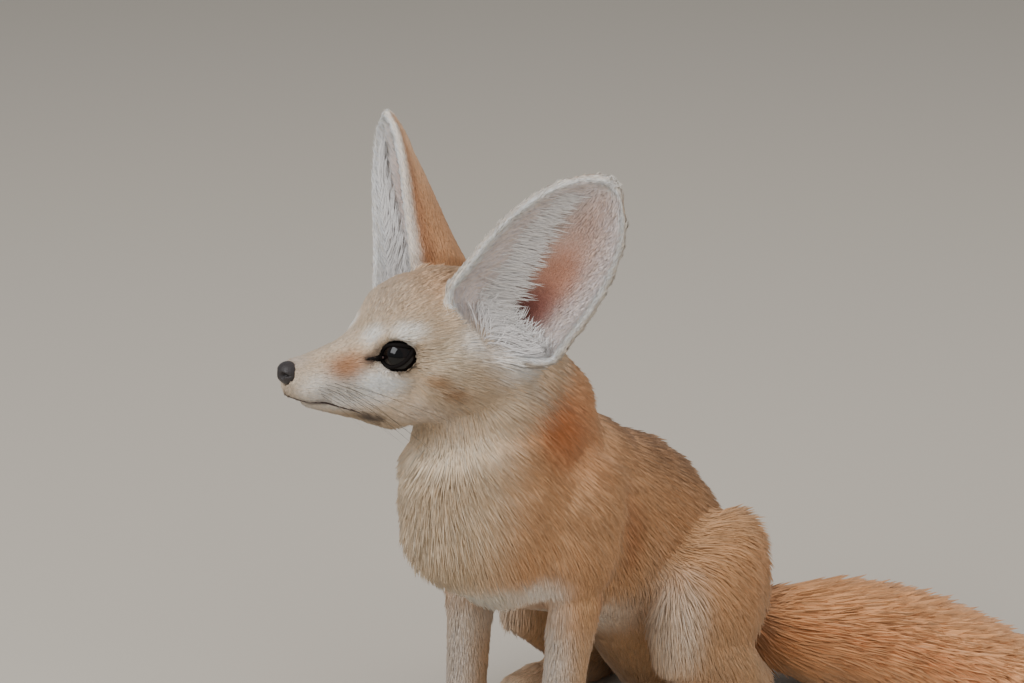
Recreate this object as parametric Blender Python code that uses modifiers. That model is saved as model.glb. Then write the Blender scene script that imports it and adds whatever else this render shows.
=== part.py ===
"""A fennec fox at life size, sitting with its head turned to its right and its tail swept to its left.

Metres, +Z up. The chest faces -Y, +X is the fox's left side and the floor is at Z 0.
Lengths in the tables and in the helpers' arguments are millimetres.
The body is modelled whole, parted with thin cuts, and moved at the end so that the origin
is on the floor under the middle of its bounding box.
"""

import math
import random
from dataclasses import dataclass

import bmesh
import bpy
from mathutils import Matrix, Vector
from mathutils.bvhtree import BVHTree

MM = 0.001
GAP = 0.3
SEED = 18
FAR = 400.0

# The head's own frame has its origin midway between the eyes, with -Y towards the nose.
HEAD_AT = (-22.5, -66.0, 197.0)
HEAD_TURN = math.radians(-22.0)

EYE_RADIUS = 7.8
EYE_APEX = (18.8, 1.4, -0.6)
EYE_LOOK = (0.71, -0.67, 0.20)
EYE_CORNERS = (-0.52, -0.80, -0.16)
EYE_OPEN_WIDE = 16.0
EYE_OPEN_HIGH = 11.6
LID_THICKNESS = 1.3

NOSE_CENTRE = (0.0, -36.4, -7.3)
NOSE_RADII = (5.3, 4.6, 4.8)
NOSTRIL_OFFSET = (2.9, -3.9, -0.4)
NOSTRIL_RADII = (1.1, 2.6, 1.4)
LIP_RADIUS = 1.1
MOUTH_RADIUS = 0.5

EAR_THICKNESS = 2.2
EAR_WIDEST_AT = 0.35
EAR_TWIST_TO = 0.5
# The hollow of each cup is kept open in the head up to this share of it, and so far before its rims.
EAR_OPEN_TO = 0.5
EAR_ROOM = 8.0
# The fringe of long hair inside the front of each ear: its line across the cup, and its locks.
FRINGE_LINE = -0.60
FRINGE_FROM = 0.12
FRINGE_TO = 0.62
FRINGE_LOCKS = 12
FRINGE_LENGTH = 23.0
FRINGE_WIDTH = 7.5
FRINGE_THICKNESS = 1.4
FRINGE_LIFT = 6.0


@dataclass(frozen=True)
class Ear:
    """The sizes of one ear. The cup's u runs from -1 to 1 across it and its v from 0 to 1 along it.

    The base is in the head's frame, the axis runs from there to the tip, and the opening is the way
    that the cup opens. It bends through twice a half turn, low down and high up, and is turned outward
    by the twist at its base. It starts to close at one v and ends, so narrow, at its foot's v.
    """

    side: int
    base: tuple
    axis: tuple
    opening: tuple
    half_width: float
    half_turns: tuple
    twist: float
    depth_share: float
    closes_at: float
    foot: float
    foot_share: float


LEFT_EAR = Ear(
    side=1,
    base=(24.14, 36.2, -3.49),
    axis=(37.64, 38.56, 74.25),
    opening=(0.87, -0.40, 0.28),
    half_width=25.2,
    half_turns=(math.radians(98), math.radians(56)),
    twist=math.radians(15.4),
    depth_share=0.7,
    closes_at=0.19,
    foot=0.03,
    foot_share=0.14,
)
RIGHT_EAR = Ear(
    side=-1,
    base=(-36.4, 27.6, 8.7),
    axis=(-37.4, 14.4, 66.0),
    opening=(-0.36, -0.88, 0.38),
    half_width=24.6,
    half_turns=(math.radians(112), math.radians(56)),
    twist=math.radians(-4.5),
    depth_share=1.0,
    closes_at=0.12,
    foot=-0.15,
    foot_share=0.2,
)

# The skull and muzzle: y, centre z, half width and half height of each section.
SKULL = (
    (63, -2, 9, 11),
    (55, 0, 18.5, 19.5),
    (42, 1.5, 24.5, 24),
    (28, 1.5, 26, 25.5),
    (14, 0.2, 24.5, 24.7),
    (5, -1.6, 21, 22.6),
    (-3, -6.2, 16, 16.6),
    (-9, -8.8, 13, 13.5),
    (-15, -9.3, 11.2, 11.7),
    (-22, -9.5, 9.6, 9.9),
    (-29, -9.8, 7.9, 8.8),
    (-34.6, -9.3, 7.3, 7.8),
    (-38.4, -9.1, 5.8, 6.4),
)
JAW = (
    (44, -16, 20, 16),
    (30, -18, 24, 16),
    (16, -20, 21, 13.5),
    (4, -22.2, 15.5, 11.8),
    (-10, -19.8, 9.8, 8.8),
    (-25, -17.3, 6.2, 6.4),
    (-31, -16.2, 4.6, 5.0),
)
# The line between the lips, from its left corner to the middle of the muzzle.
MOUTH_LINE = (
    (14.5, -5, -28.2),
    (13.0, -11, -25.8),
    (11.0, -17, -23.0),
    (9.0, -23, -20.4),
    (7.0, -28.5, -18.2),
    (4.2, -34.2, -16.6),
    (0.0, -37.6, -15.0),
)

# The trunk: back (y, z), belly (y, z) and half width, from the nape down to the rump.
TRUNK = (
    ((10, 181), (-47, 160), 25),
    ((22, 167), (-58, 148), 29),
    ((33, 156), (-60, 131), 33),
    ((45, 148), (-59, 113), 36),
    ((58, 139), (-49, 97), 37),
    ((77, 131), (-27, 82), 37),
    ((95, 120), (4, 70), 36),
    ((110, 105), (34, 58), 35),
    ((120, 86), (58, 40), 36),
    ((129, 66), (76, 18), 37),
    ((133, 44), (90, 2), 34),
    ((131, 20), (104, -4), 22),
)
# The neck inside the ruff: x, y, z, half width across and half depth.
NECK = (
    (-10, -40, 204, 20, 18),
    (-9, -32, 192, 26, 27),
    (-5, -20, 175, 29, 34),
    (0, -10, 155, 32, 40),
    (0, 0, 138, 32, 38),
)
# Each limb: x, y, z, half width across and half depth, on the fox's left side.
SHOULDER = (
    (24, 13, 140, 12, 20),
    (28, 4, 124, 14, 25),
    (29, 1, 106, 13.5, 22),
    (28, 2, 88, 11.5, 16),
)
FORELEG = (
    (28, 3, 100, 11, 15),
    (28, 2, 82, 10.2, 12.5),
    (27, -1, 60, 8.8, 10.2),
    (26, -4, 38, 8.2, 9.0),
    (25, -6, 20, 8.4, 9.2),
    (25, -7, 8, 8.0, 9.0),
)
THIGH = (
    (24, 118, 60, 14, 24),
    (31, 106, 61, 18, 34),
    (36, 88, 62, 19, 37),
    (40, 68, 61, 17, 31),
    (42, 53, 60, 14, 23),
    (42, 43, 60, 9, 13),
)
SHANK = (
    (42, 50, 54, 12, 15),
    (43, 68, 42, 13.5, 17),
    (43, 88, 28, 13.5, 18),
    (41, 106, 16, 10, 14),
    (40, 115, 11, 8, 9),
)
HIND_FOOT = (
    (40, 116, 10, 7.5, 9),
    (40, 100, 9, 8, 10),
    (41, 76, 9, 8, 9.5),
    (41, 58, 8.5, 8.3, 9),
    (41, 46, 8.0, 9.5, 8.5),
)

FORE_BALL = (25.0, -11.0)
HIND_BALL = (41.0, 43.0)
TOE_REACH = 11.5
TOE_PITCH = 4.7
TOE_RADII = (3.1, 7.6, 5.0)
CLAW_LENGTH = 7.5
CLAW_RADIUS = 1.25

# The planes that part the whole body: a point on each and the way that its normal points.
NECK_TOP = ((-2, -18, 170), (0.12, 0.42, -0.90))
NECK_BASE = ((0, -12, 146), (0.0, 0.30, -0.95))
# Outlines, x and z, of the regions that hold the left limbs, and how far each runs in y.
FORELEG_REGION = ((12, -10), (12, 72), (19, 92), (30, 114), (90, 114), (90, -10))
FORELEG_RUN = (-31, 17)
HIND_REGION = ((22, -10), (27, 20), (41, 95), (45, 114), (90, 114), (90, -10))
HIND_RUN = (22.3, 136)
WRIST_HEIGHT = 15.0
HOCK_HEIGHT = 17.0

# The tail: x, y, z of its middle line and its radius out to the tips of the fur.
TAIL = (
    (4, 116, 34, 15),
    (14, 136, 29, 21),
    (42, 153, 26.5, 25.5),
    (78, 161, 26, 26.5),
    (113, 159, 25, 25.5),
    (146, 151, 23.5, 23.5),
    (174, 137, 21, 20.5),
    (195, 120, 18, 16),
    (209, 103, 15, 10.5),
)
TAIL_CORE_SHARE = 0.5
LOCK_ROW_PITCH = 19.5
LOCKS_IN_A_ROW = 6
LOCK_LENGTH = 38.0
LOCK_WIDTH = 19.5
LOCK_THICKNESS = 3.0

FINISHES = {
    "sand fur": ((0.62, 0.40, 0.22), 0.9),
    "cream fur": ((0.82, 0.74, 0.62), 0.9),
    "tail fur": ((0.60, 0.30, 0.13), 0.9),
    "eye": ((0.02, 0.012, 0.008), 0.1),
    "nose skin": ((0.015, 0.012, 0.012), 0.45),
    "claw horn": ((0.10, 0.07, 0.05), 0.4),
}


def mm(*values):
    """A point given in millimetres, as a vector in metres."""
    return Vector(values) * MM


def head_matrix():
    """Places the head's own frame in the fox's."""
    return Matrix.Translation(mm(*HEAD_AT)) @ Matrix.Rotation(HEAD_TURN, 4, "Z")


def mirrored(stations, side):
    """The stations of a left limb, or of its right twin where side is -1."""
    return [(side * s[0], *s[1:]) for s in stations]


def side_name(side):
    return "left" if side == 1 else "right"


# Scene and materials


def clear_scene():
    for obj in list(bpy.data.objects):
        bpy.data.objects.remove(obj, do_unlink=True)


def new_collection(name):
    collection = bpy.data.collections.new(name)
    bpy.context.scene.collection.children.link(collection)
    return collection


def material(name):
    found = bpy.data.materials.get(name)
    if found:
        return found
    colour, roughness = FINISHES[name]
    made = bpy.data.materials.new(name)
    made.use_nodes = True
    shader = made.node_tree.nodes["Principled BSDF"]
    shader.inputs["Base Color"].default_value = (*colour, 1.0)
    shader.inputs["Roughness"].default_value = roughness
    made.diffuse_color = (*colour, 1.0)
    return made


def new_object(name, mesh, bench):
    obj = bpy.data.objects.new(name, mesh)
    obj.hide_render = True
    obj.display_type = "WIRE"
    bench.objects.link(obj)
    return obj


def publish(obj, name, finish, fox):
    """Moves a finished solid from the bench to the fox, under its node's name."""
    for collection in list(obj.users_collection):
        collection.objects.unlink(obj)
    fox.objects.link(obj)
    obj.name = name
    obj.data.name = name
    obj.hide_render = False
    obj.display_type = "TEXTURED"
    obj.data.materials.clear()
    obj.data.materials.append(material(finish))
    return obj


# Mesh helpers


def mesh_from(bm, name):
    bm.normal_update()
    bmesh.ops.recalc_face_normals(bm, faces=bm.faces)
    mesh = bpy.data.meshes.new(name)
    bm.to_mesh(mesh)
    bm.free()
    return mesh


def evaluate(obj):
    """Applies every modifier of an object to its mesh."""
    graph = bpy.context.evaluated_depsgraph_get()
    mesh = bpy.data.meshes.new_from_object(obj.evaluated_get(graph))
    obj.modifiers.clear()
    obj.data = mesh


def copy_of(obj, bench):
    return new_object(obj.name + " copy", obj.data.copy(), bench)


def drop(objects):
    for obj in list(objects):
        bpy.data.objects.remove(obj, do_unlink=True)


def islands(bm):
    """The connected groups of faces of a mesh."""
    left = set(bm.faces)
    groups = []
    while left:
        stack = [left.pop()]
        group = []
        while stack:
            face = stack.pop()
            group.append(face)
            for edge in face.edges:
                for other in edge.link_faces:
                    if other in left:
                        left.discard(other)
                        stack.append(other)
        groups.append(group)
    return groups


def extent(group):
    """The diagonal of the box round a group of faces."""
    points = [vert.co for face in group for vert in face.verts]
    spans = [max(p[i] for p in points) - min(p[i] for p in points) for i in range(3)]
    return Vector(spans).length


def keep_largest(obj):
    """Drops every surface but the largest closed one."""
    bm = bmesh.new()
    bm.from_mesh(obj.data)
    groups = sorted(islands(bm), key=extent, reverse=True)
    scraps = [face for group in groups[1:] for face in group]
    if scraps:
        bmesh.ops.delete(bm, geom=scraps, context="FACES")
    bm.to_mesh(obj.data)
    bm.free()


def combine(obj, others, operation, keep_others=False):
    """Applies one Boolean of an object with a collection of closed pieces."""
    tools = new_collection("tools")
    for other in others:
        tools.objects.link(other)
    change = obj.modifiers.new("Change", "BOOLEAN")
    change.operation = operation
    change.operand_type = "COLLECTION"
    change.collection = tools
    evaluate(obj)
    for other in list(others):
        tools.objects.unlink(other)
    bpy.data.collections.remove(tools)
    if not keep_others:
        drop(others)
    keep_largest(obj)
    return obj


def cut(obj, cutters, keep_cutters=False):
    return combine(obj, cutters, "DIFFERENCE", keep_cutters)


def simplified(obj, triangles):
    """Thins a mesh to about so many triangles."""
    count = sum(len(face.vertices) - 2 for face in obj.data.polygons)
    if count > triangles:
        thin = obj.modifiers.new("Thin", "DECIMATE")
        thin.ratio = triangles / count
        evaluate(obj)
        keep_largest(obj)
    return obj


def grown(obj, bench, by=GAP):
    """A copy of a solid whose surface stands out by a small gap."""
    copy = copy_of(obj, bench)
    swell = copy.modifiers.new("Swell", "DISPLACE")
    swell.mid_level = 0.0
    swell.strength = by * MM
    evaluate(copy)
    return copy


def loft(sections, sides, bench, tip=None):
    """A closed tube through sections of (centre, first half axis, second half axis), in metres."""
    bm = bmesh.new()
    rings = []
    for centre, first, second in sections:
        turns = [2 * math.pi * i / sides for i in range(sides)]
        rings.append([bm.verts.new(centre + first * math.cos(t) + second * math.sin(t)) for t in turns])
    for low, high in zip(rings, rings[1:]):
        for i in range(sides):
            j = (i + 1) % sides
            bm.faces.new((low[i], low[j], high[j], high[i]))
    bm.faces.new(rings[0])
    if tip is None:
        bm.faces.new(rings[-1])
    else:
        point = bm.verts.new(tip)
        for i in range(sides):
            bm.faces.new((rings[-1][i], rings[-1][(i + 1) % sides], point))
    return new_object("loft", mesh_from(bm, "loft"), bench)


def tangents(points):
    """The direction of a path at each of its points."""
    last = len(points) - 1
    return [(points[min(i + 1, last)] - points[max(i - 1, 0)]).normalized() for i in range(last + 1)]


def smooth_path(knots, steps):
    """A Catmull-Rom curve through knots of any size, with so many steps between each two."""
    path = []
    last = len(knots) - 1
    for i in range(last):
        p0, p1, p2, p3 = knots[max(i - 1, 0)], knots[i], knots[i + 1], knots[min(i + 2, last)]
        for k in range(steps):
            t = k / steps
            bend = (2 * p0 - 5 * p1 + 4 * p2 - p3) * t * t + (3 * p1 - p0 - 3 * p2 + p3) * t ** 3
            path.append(0.5 * (2 * p1 + (p2 - p0) * t + bend))
    path.append(knots[-1])
    return path


def limb(stations, bench, sides=16):
    """A round tube through a limb's stations."""
    points = [mm(*s[:3]) for s in stations]
    sections = []
    for point, along, station in zip(points, tangents(points), stations):
        across = (Vector((1, 0, 0)) - along * along.x).normalized()
        deep = along.cross(across).normalized()
        sections.append((point, across * station[3] * MM, deep * station[4] * MM))
    return loft(sections, sides, bench)


def tube(points, radius, bench):
    """A six-sided rod through points in metres, closed at both ends."""
    curve = bpy.data.curves.new("tube", "CURVE")
    curve.dimensions = "3D"
    curve.bevel_depth = radius * MM
    curve.bevel_resolution = 1
    curve.use_fill_caps = True
    spline = curve.splines.new("POLY")
    spline.points.add(len(points) - 1)
    for place, point in zip(spline.points, points):
        place.co = (*point, 1.0)
    path = new_object("path", curve, bench)
    graph = bpy.context.evaluated_depsgraph_get()
    bm = bmesh.new()
    bm.from_mesh(bpy.data.meshes.new_from_object(path.evaluated_get(graph)))
    bmesh.ops.remove_doubles(bm, verts=bm.verts, dist=0.001 * MM)
    drop([path])
    return new_object("tube", mesh_from(bm, "tube"), bench)


def ball(centre, radii, bench, frame=None, segments=24, rings=14):
    """A ball scaled to three radii, in an optional frame."""
    bm = bmesh.new()
    bmesh.ops.create_uvsphere(bm, u_segments=segments, v_segments=rings, radius=1.0)
    place = Matrix.Translation(mm(*centre)) @ Matrix.Diagonal((*mm(*radii), 1.0))
    bm.transform((frame or Matrix.Identity(4)) @ place)
    return new_object("ball", mesh_from(bm, "ball"), bench)


def half_space(point, normal, bench, gap=0.0):
    """All that lies on the side of a plane that its normal points to, from the gap on."""
    bm = bmesh.new()
    bmesh.ops.create_cube(bm, size=2 * FAR * MM)
    turn = Vector(normal).to_track_quat("Z", "Y").to_matrix().to_4x4()
    bm.transform(Matrix.Translation(mm(*point)) @ turn @ Matrix.Translation(mm(0, 0, FAR + gap)))
    return new_object("half space", mesh_from(bm, "half space"), bench)


def region(outline, run, side, bench, gap=0.0):
    """A prism of an outline in x and z along a run of y, or its mirror image."""
    middle = Vector((sum(p[0] for p in outline), sum(p[1] for p in outline))) / len(outline)
    bm = bmesh.new()
    ring = []
    for x, z in outline:
        away = (Vector((x, z)) - middle).normalized() * gap * 2
        ring.append(bm.verts.new(mm(side * (x + away.x), run[0] - gap, z + away.y)))
    face = bm.faces.new(ring)
    made = bmesh.ops.extrude_face_region(bm, geom=[face])
    moved = [item for item in made["geom"] if isinstance(item, bmesh.types.BMVert)]
    bmesh.ops.translate(bm, verts=moved, vec=mm(0, run[1] - run[0] + 2 * gap, 0))
    return new_object("region", mesh_from(bm, "region"), bench)


def fused(pieces, name, bench, voxel, smoothing):
    """Melts overlapping pieces into one skin, smoothed so many times."""
    bm = bmesh.new()
    for piece in pieces:
        bm.from_mesh(piece.data)
    mesh = bpy.data.meshes.new(name)
    bm.to_mesh(mesh)
    bm.free()
    drop(pieces)
    obj = new_object(name, mesh, bench)
    melt = obj.modifiers.new("Melt", "REMESH")
    melt.mode = "VOXEL"
    melt.voxel_size = voxel * MM
    ease = obj.modifiers.new("Ease", "SMOOTH")
    ease.factor = 0.5
    ease.iterations = smoothing
    evaluate(obj)
    keep_largest(obj)
    return obj


# Masses that melt into the whole body


def trunk_mass(bench):
    sections = []
    for back, belly, half_width in TRUNK:
        top, low = mm(0, *back), mm(0, *belly)
        sections.append(((top + low) / 2, (top - low) / 2, mm(half_width, 0, 0)))
    return loft(sections, 28, bench)


def eye_look(side):
    """The direction that an eye looks in, in the head's frame."""
    return Vector((side * EYE_LOOK[0], EYE_LOOK[1], EYE_LOOK[2])).normalized()


def eye_centre(side):
    """The middle of an eyeball, in millimetres in the head's frame."""
    return Vector((side * EYE_APEX[0], EYE_APEX[1], EYE_APEX[2])) - eye_look(side) * EYE_RADIUS


def eye_ball(side, radius, bench):
    return ball(eye_centre(side), (radius,) * 3, bench, head_matrix(), 16, 10)


def head_masses(bench):
    frame = head_matrix()
    turn = frame.to_3x3()
    masses = []
    for stations in (SKULL, JAW):
        sections = []
        for y, z, half_width, half_height in stations:
            sections.append((frame @ mm(0, y, z), turn @ mm(half_width, 0, 0), mm(0, 0, half_height)))
        masses.append(loft(sections, 24, bench))
    for side in (1, -1):
        masses += [
            ball((side * 14.5, 34, -9), (16.5, 27, 20), bench, frame),
            ball((side * 19, 45, -3), (13.5, 20, 18), bench, frame),
            ball((side * 5.6, -28, -13.2), (4.6, 8.5, 4.8), bench, frame),
            eye_ball(side, EYE_RADIUS + LID_THICKNESS, bench),
        ]
    return masses


def toe_frames(side, foot):
    """The frame of each of the four toes of a paw, fanned out from the ball of the foot."""
    frames = []
    for i in range(4):
        across = i - 1.5
        turn = math.radians(8.0 * across)
        forward = TOE_REACH - 1.2 * across * across
        place = mm(side * foot[0] + TOE_PITCH * across, foot[1] - forward, 4.6)
        frames.append(Matrix.Translation(place) @ Matrix.Rotation(turn, 4, "Z"))
    return frames


def paw_masses(side, foot, bench):
    masses = [ball((side * foot[0], foot[1], 6.5), (9.4, 11.5, 7.6), bench)]
    for frame in toe_frames(side, foot):
        tilt = Matrix.Rotation(math.radians(14), 4, "X")
        masses.append(ball((0, 0, 0), TOE_RADII, bench, frame @ tilt))
    return masses


def whole_body(bench):
    """The trunk and thighs melt softly first, then the finer head, legs and paws melt into them."""
    broad = [trunk_mass(bench), limb(NECK, bench, 24)]
    fine = head_masses(bench)
    for side in (1, -1):
        broad += [limb(mirrored(stations, side), bench) for stations in (SHOULDER, THIGH, SHANK)]
        fine += [limb(mirrored(stations, side), bench) for stations in (FORELEG, HIND_FOOT)]
        fine += paw_masses(side, FORE_BALL, bench) + paw_masses(side, HIND_BALL, bench)
    soft = fused(broad, "soft", bench, 2.0, 30)
    return fused(fine + [soft], "whole", bench, 1.2, 20)


# Head, eyes, nose and ears


def mouth_pieces(skin, bench):
    """The raised lips and the groove between them, laid on the head's own surface."""
    surface = BVHTree.FromObject(skin, bpy.context.evaluated_depsgraph_get())
    frame = head_matrix()
    right_half = [(-x, y, z) for x, y, z in MOUTH_LINE[-2::-1]]
    line = smooth_path([Vector(point) for point in list(MOUTH_LINE) + right_half], 2)
    lip_path = []
    groove_path = []
    for point in line:
        place, normal, _, _ = surface.find_nearest(frame @ (point * MM))
        lip_path.append(place)
        groove_path.append(place + normal * LIP_RADIUS * MM)
    return tube(lip_path, LIP_RADIUS, bench), tube(groove_path, MOUTH_RADIUS, bench)


def lid_outline(side, reach, flare, steps=18):
    """The almond outline of the lids, so far out along the eye's look, from the eye's middle."""
    look = eye_look(side)
    corner = Vector((side * EYE_CORNERS[0], EYE_CORNERS[1], EYE_CORNERS[2]))
    corner = (corner - look * corner.dot(look)).normalized()
    rise = look.cross(corner).normalized()
    spots = []
    for i in range(steps):
        turn = 2 * math.pi * i / steps
        high = math.copysign(abs(math.sin(turn)) ** 1.2, math.sin(turn))
        spot = corner * math.cos(turn) * EYE_OPEN_WIDE / 2 + rise * high * EYE_OPEN_HIGH / 2
        spots.append(look * reach + spot * flare)
    return spots


def eye_opening(side, bench):
    """A prism that opens the lids over the eyeball."""
    bm = bmesh.new()
    rings = []
    for reach, flare in ((2.5, 0.96), (EYE_RADIUS, 1.04), (EYE_RADIUS + 6, 1.5)):
        spots = lid_outline(side, reach, flare)
        rings.append([bm.verts.new((eye_centre(side) + spot) * MM) for spot in spots])
    for low, high in zip(rings, rings[1:]):
        for i in range(len(low)):
            j = (i + 1) % len(low)
            bm.faces.new((low[i], low[j], high[j], high[i]))
    bm.faces.new(rings[0])
    bm.faces.new(rings[-1])
    bm.transform(head_matrix())
    return new_object("opening", mesh_from(bm, "opening"), bench)


def build_nose(bench):
    """The bare pad at the end of the muzzle with its two nostrils."""
    frame = head_matrix()
    nose = ball(NOSE_CENTRE, NOSE_RADII, bench, frame, 14, 9)
    nostrils = []
    for side in (1, -1):
        x, y, z = NOSTRIL_OFFSET
        centre = (NOSE_CENTRE[0] + side * x, NOSE_CENTRE[1] + y, NOSE_CENTRE[2] + z)
        nostrils.append(ball(centre, NOSTRIL_RADII, bench, frame, 8, 5))
    return cut(nose, nostrils)


def build_head(skin, nose, bench):
    """The head with its sockets, lids, lips, mouth line and ear hollows, and a seat for the nose."""
    head = copy_of(skin, bench)
    lips, groove = mouth_pieces(skin, bench)
    combine(head, [lips], "UNION")
    cutters = [groove, grown(nose, bench)]
    for side in (1, -1):
        cutters += [eye_ball(side, EYE_RADIUS + GAP, bench), eye_opening(side, bench)]
    cutters += [ear_hollow(LEFT_EAR, bench), ear_hollow(RIGHT_EAR, bench)]
    cutters.append(half_space(NECK_TOP[0], NECK_TOP[1], bench, -GAP / 2))
    return cut(head, cutters)


def ear_frame(ear):
    """The ear's frame, with X to its rear rim, Y out of its back and Z to its tip."""
    opening = Vector(ear.opening)
    up = Vector(ear.axis).normalized()
    back = -(opening - up * opening.dot(up)).normalized()
    across = ear.side * back.cross(up)
    turn = Matrix((across, back, up)).transposed().to_4x4()
    return head_matrix() @ Matrix.Translation(mm(*ear.base)) @ turn


def ear_half_width(ear, v):
    """Half the width of the ear at a share of its length."""
    if v < EAR_WIDEST_AT:
        flare = 0.08 * (1 - v / EAR_WIDEST_AT) ** 2
        closing = max(0.0, (ear.closes_at - v) / (ear.closes_at - ear.foot)) ** 2
        return ear.half_width * (1 + flare) * (1 - (1 - ear.foot_share) * closing)
    share = (v - EAR_WIDEST_AT) / (1 - EAR_WIDEST_AT)
    return ear.half_width * max(0.0, 1 - share ** 2.4) ** 0.625


def ear_point(ear, v, u, inset=0.0):
    """A point on the middle of the cup's wall, or so far inside it, in the ear's frame."""
    low, high = ear.half_turns
    half_turn = low + (high - low) * min(1.0, v / 0.75)
    radius = ear_half_width(ear, v) / math.sin(min(half_turn, math.pi / 2))
    turn = half_turn * u
    across = (radius - inset) * math.sin(turn)
    depth = ((radius - inset) * math.cos(turn) - radius * math.cos(half_turn)) * ear.depth_share
    twist = ear.twist * max(0.0, 1 - max(v, 0.0) / EAR_TWIST_TO) ** 1.5
    x = across * math.cos(twist) - depth * math.sin(twist)
    y = across * math.sin(twist) + depth * math.cos(twist)
    return mm(x, y, v * Vector(ear.axis).length)


def ear_shell(ear, bench):
    rows, columns = 15, 12
    bm = bmesh.new()
    grid = []
    for i in range(rows):
        v = ear.foot + (0.985 - ear.foot) * (1 - math.cos(math.pi * i / (rows - 1))) / 2
        across = [2 * j / columns - 1 for j in range(columns + 1)]
        grid.append([bm.verts.new(ear_point(ear, v, u)) for u in across])
    for low, high in zip(grid, grid[1:]):
        for j in range(columns):
            bm.faces.new((low[j], low[j + 1], high[j + 1], high[j]))
    tip = bm.verts.new(ear_point(ear, 1.0, 0.0))
    for j in range(columns):
        bm.faces.new((grid[-1][j], grid[-1][j + 1], tip))
    bmesh.ops.triangulate(bm, faces=bm.faces)
    bm.transform(ear_frame(ear))
    mesh = bpy.data.meshes.new("ear")
    bm.to_mesh(mesh)
    bm.free()
    made = new_object("ear", mesh, bench)
    shell = made.modifiers.new("Shell", "SOLIDIFY")
    shell.thickness = EAR_THICKNESS * MM
    shell.offset = 0.0
    evaluate(made)
    bm = bmesh.new()
    bm.from_mesh(made.data)
    bmesh.ops.recalc_face_normals(bm, faces=bm.faces)
    bm.to_mesh(made.data)
    bm.free()
    return made


def ear_hollow(ear, bench):
    """The room inside the cup, which stays open where the cup is sunk in the head."""
    rows, columns = 7, 12
    bm = bmesh.new()
    rings = []
    for i in range(rows):
        v = ear.foot + (EAR_OPEN_TO - ear.foot) * i / (rows - 1)
        spots = [ear_point(ear, v, 2 * j / columns - 1, EAR_THICKNESS / 2) for j in range(columns + 1)]
        spots += [spot + mm(0, -EAR_ROOM, 0) for spot in (spots[-1], spots[0])]
        rings.append([bm.verts.new(spot) for spot in spots])
    for low, high in zip(rings, rings[1:]):
        for i in range(len(low)):
            j = (i + 1) % len(low)
            bm.faces.new((low[i], low[j], high[j], high[i]))
    bm.faces.new(rings[0])
    bm.faces.new(rings[-1])
    bmesh.ops.triangulate(bm, faces=bm.faces)
    bm.transform(ear_frame(ear))
    return new_object("hollow", mesh_from(bm, "hollow"), bench)


def fringe_lock(ear, v, length, width, bench, draw):
    """One flat, tapered lock that leaves the cup's face and curves over it, back and up."""
    slope = draw.uniform(0.55, 0.85)
    rise = slope * length / Vector(ear.axis).length
    reach = (1 - slope / 2) * length / ear.half_width / ear.half_turns[0]
    rows = []
    for t, broad in ((0.0, 0.8), (0.34, 1.0), (0.70, 0.72), (1.0, 0.0)):
        here = v + rise * t
        across = FRINGE_LINE + reach * t
        spot = ear_point(ear, here, across)
        over = ear_point(ear, here, across + 0.02) - spot
        along = ear_point(ear, here + 0.02, across) - spot
        out = along.cross(over).normalized()
        if out.y > 0:
            out = -out
        run = (over.normalized() + along.normalized() * slope).normalized()
        middle = spot + out * FRINGE_LIFT * (1 - (1 - t) ** 2) * MM
        half = out.cross(run).normalized() * width * broad / 2 * MM
        thick = out * FRINGE_THICKNESS * (1 - 0.4 * t) / 2 * MM
        rows.append((middle, half, thick))
    bm = bmesh.new()
    rings = []
    for middle, half, thick in rows[:-1]:
        spots = (middle - half, middle + thick, middle + half, middle - thick)
        rings.append([bm.verts.new(spot) for spot in spots])
    tip = bm.verts.new(rows[-1][0])
    for low, high in zip(rings, rings[1:]):
        for i in range(4):
            j = (i + 1) % 4
            bm.faces.new((low[i], low[j], high[j], high[i]))
    bm.faces.new(rings[0])
    for i in range(4):
        bm.faces.new((rings[-1][i], rings[-1][(i + 1) % 4], tip))
    bmesh.ops.triangulate(bm, faces=bm.faces)
    bm.transform(ear_frame(ear))
    return new_object("lock", mesh_from(bm, "lock"), bench)


def ear_fringe(ear, bench):
    """The fringe's locks in a row up the front of the cup, the longest low down."""
    draw = random.Random(SEED + ear.side)
    locks = []
    for i in range(FRINGE_LOCKS):
        share = i / (FRINGE_LOCKS - 1)
        v = FRINGE_FROM + (FRINGE_TO - FRINGE_FROM) * share + draw.uniform(-0.01, 0.01)
        long = FRINGE_LENGTH * (1 - 0.45 * share) * draw.uniform(0.88, 1.1)
        wide = FRINGE_WIDTH * (1 - 0.2 * share) * draw.uniform(0.9, 1.1)
        locks.append(fringe_lock(ear, v, long, wide, bench, draw))
    return locks


def build_ear(ear, skin, bench):
    made = ear_shell(ear, bench)
    combine(made, ear_fringe(ear, bench), "UNION")
    return cut(made, [grown(skin, bench)])


# Tail


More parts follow.
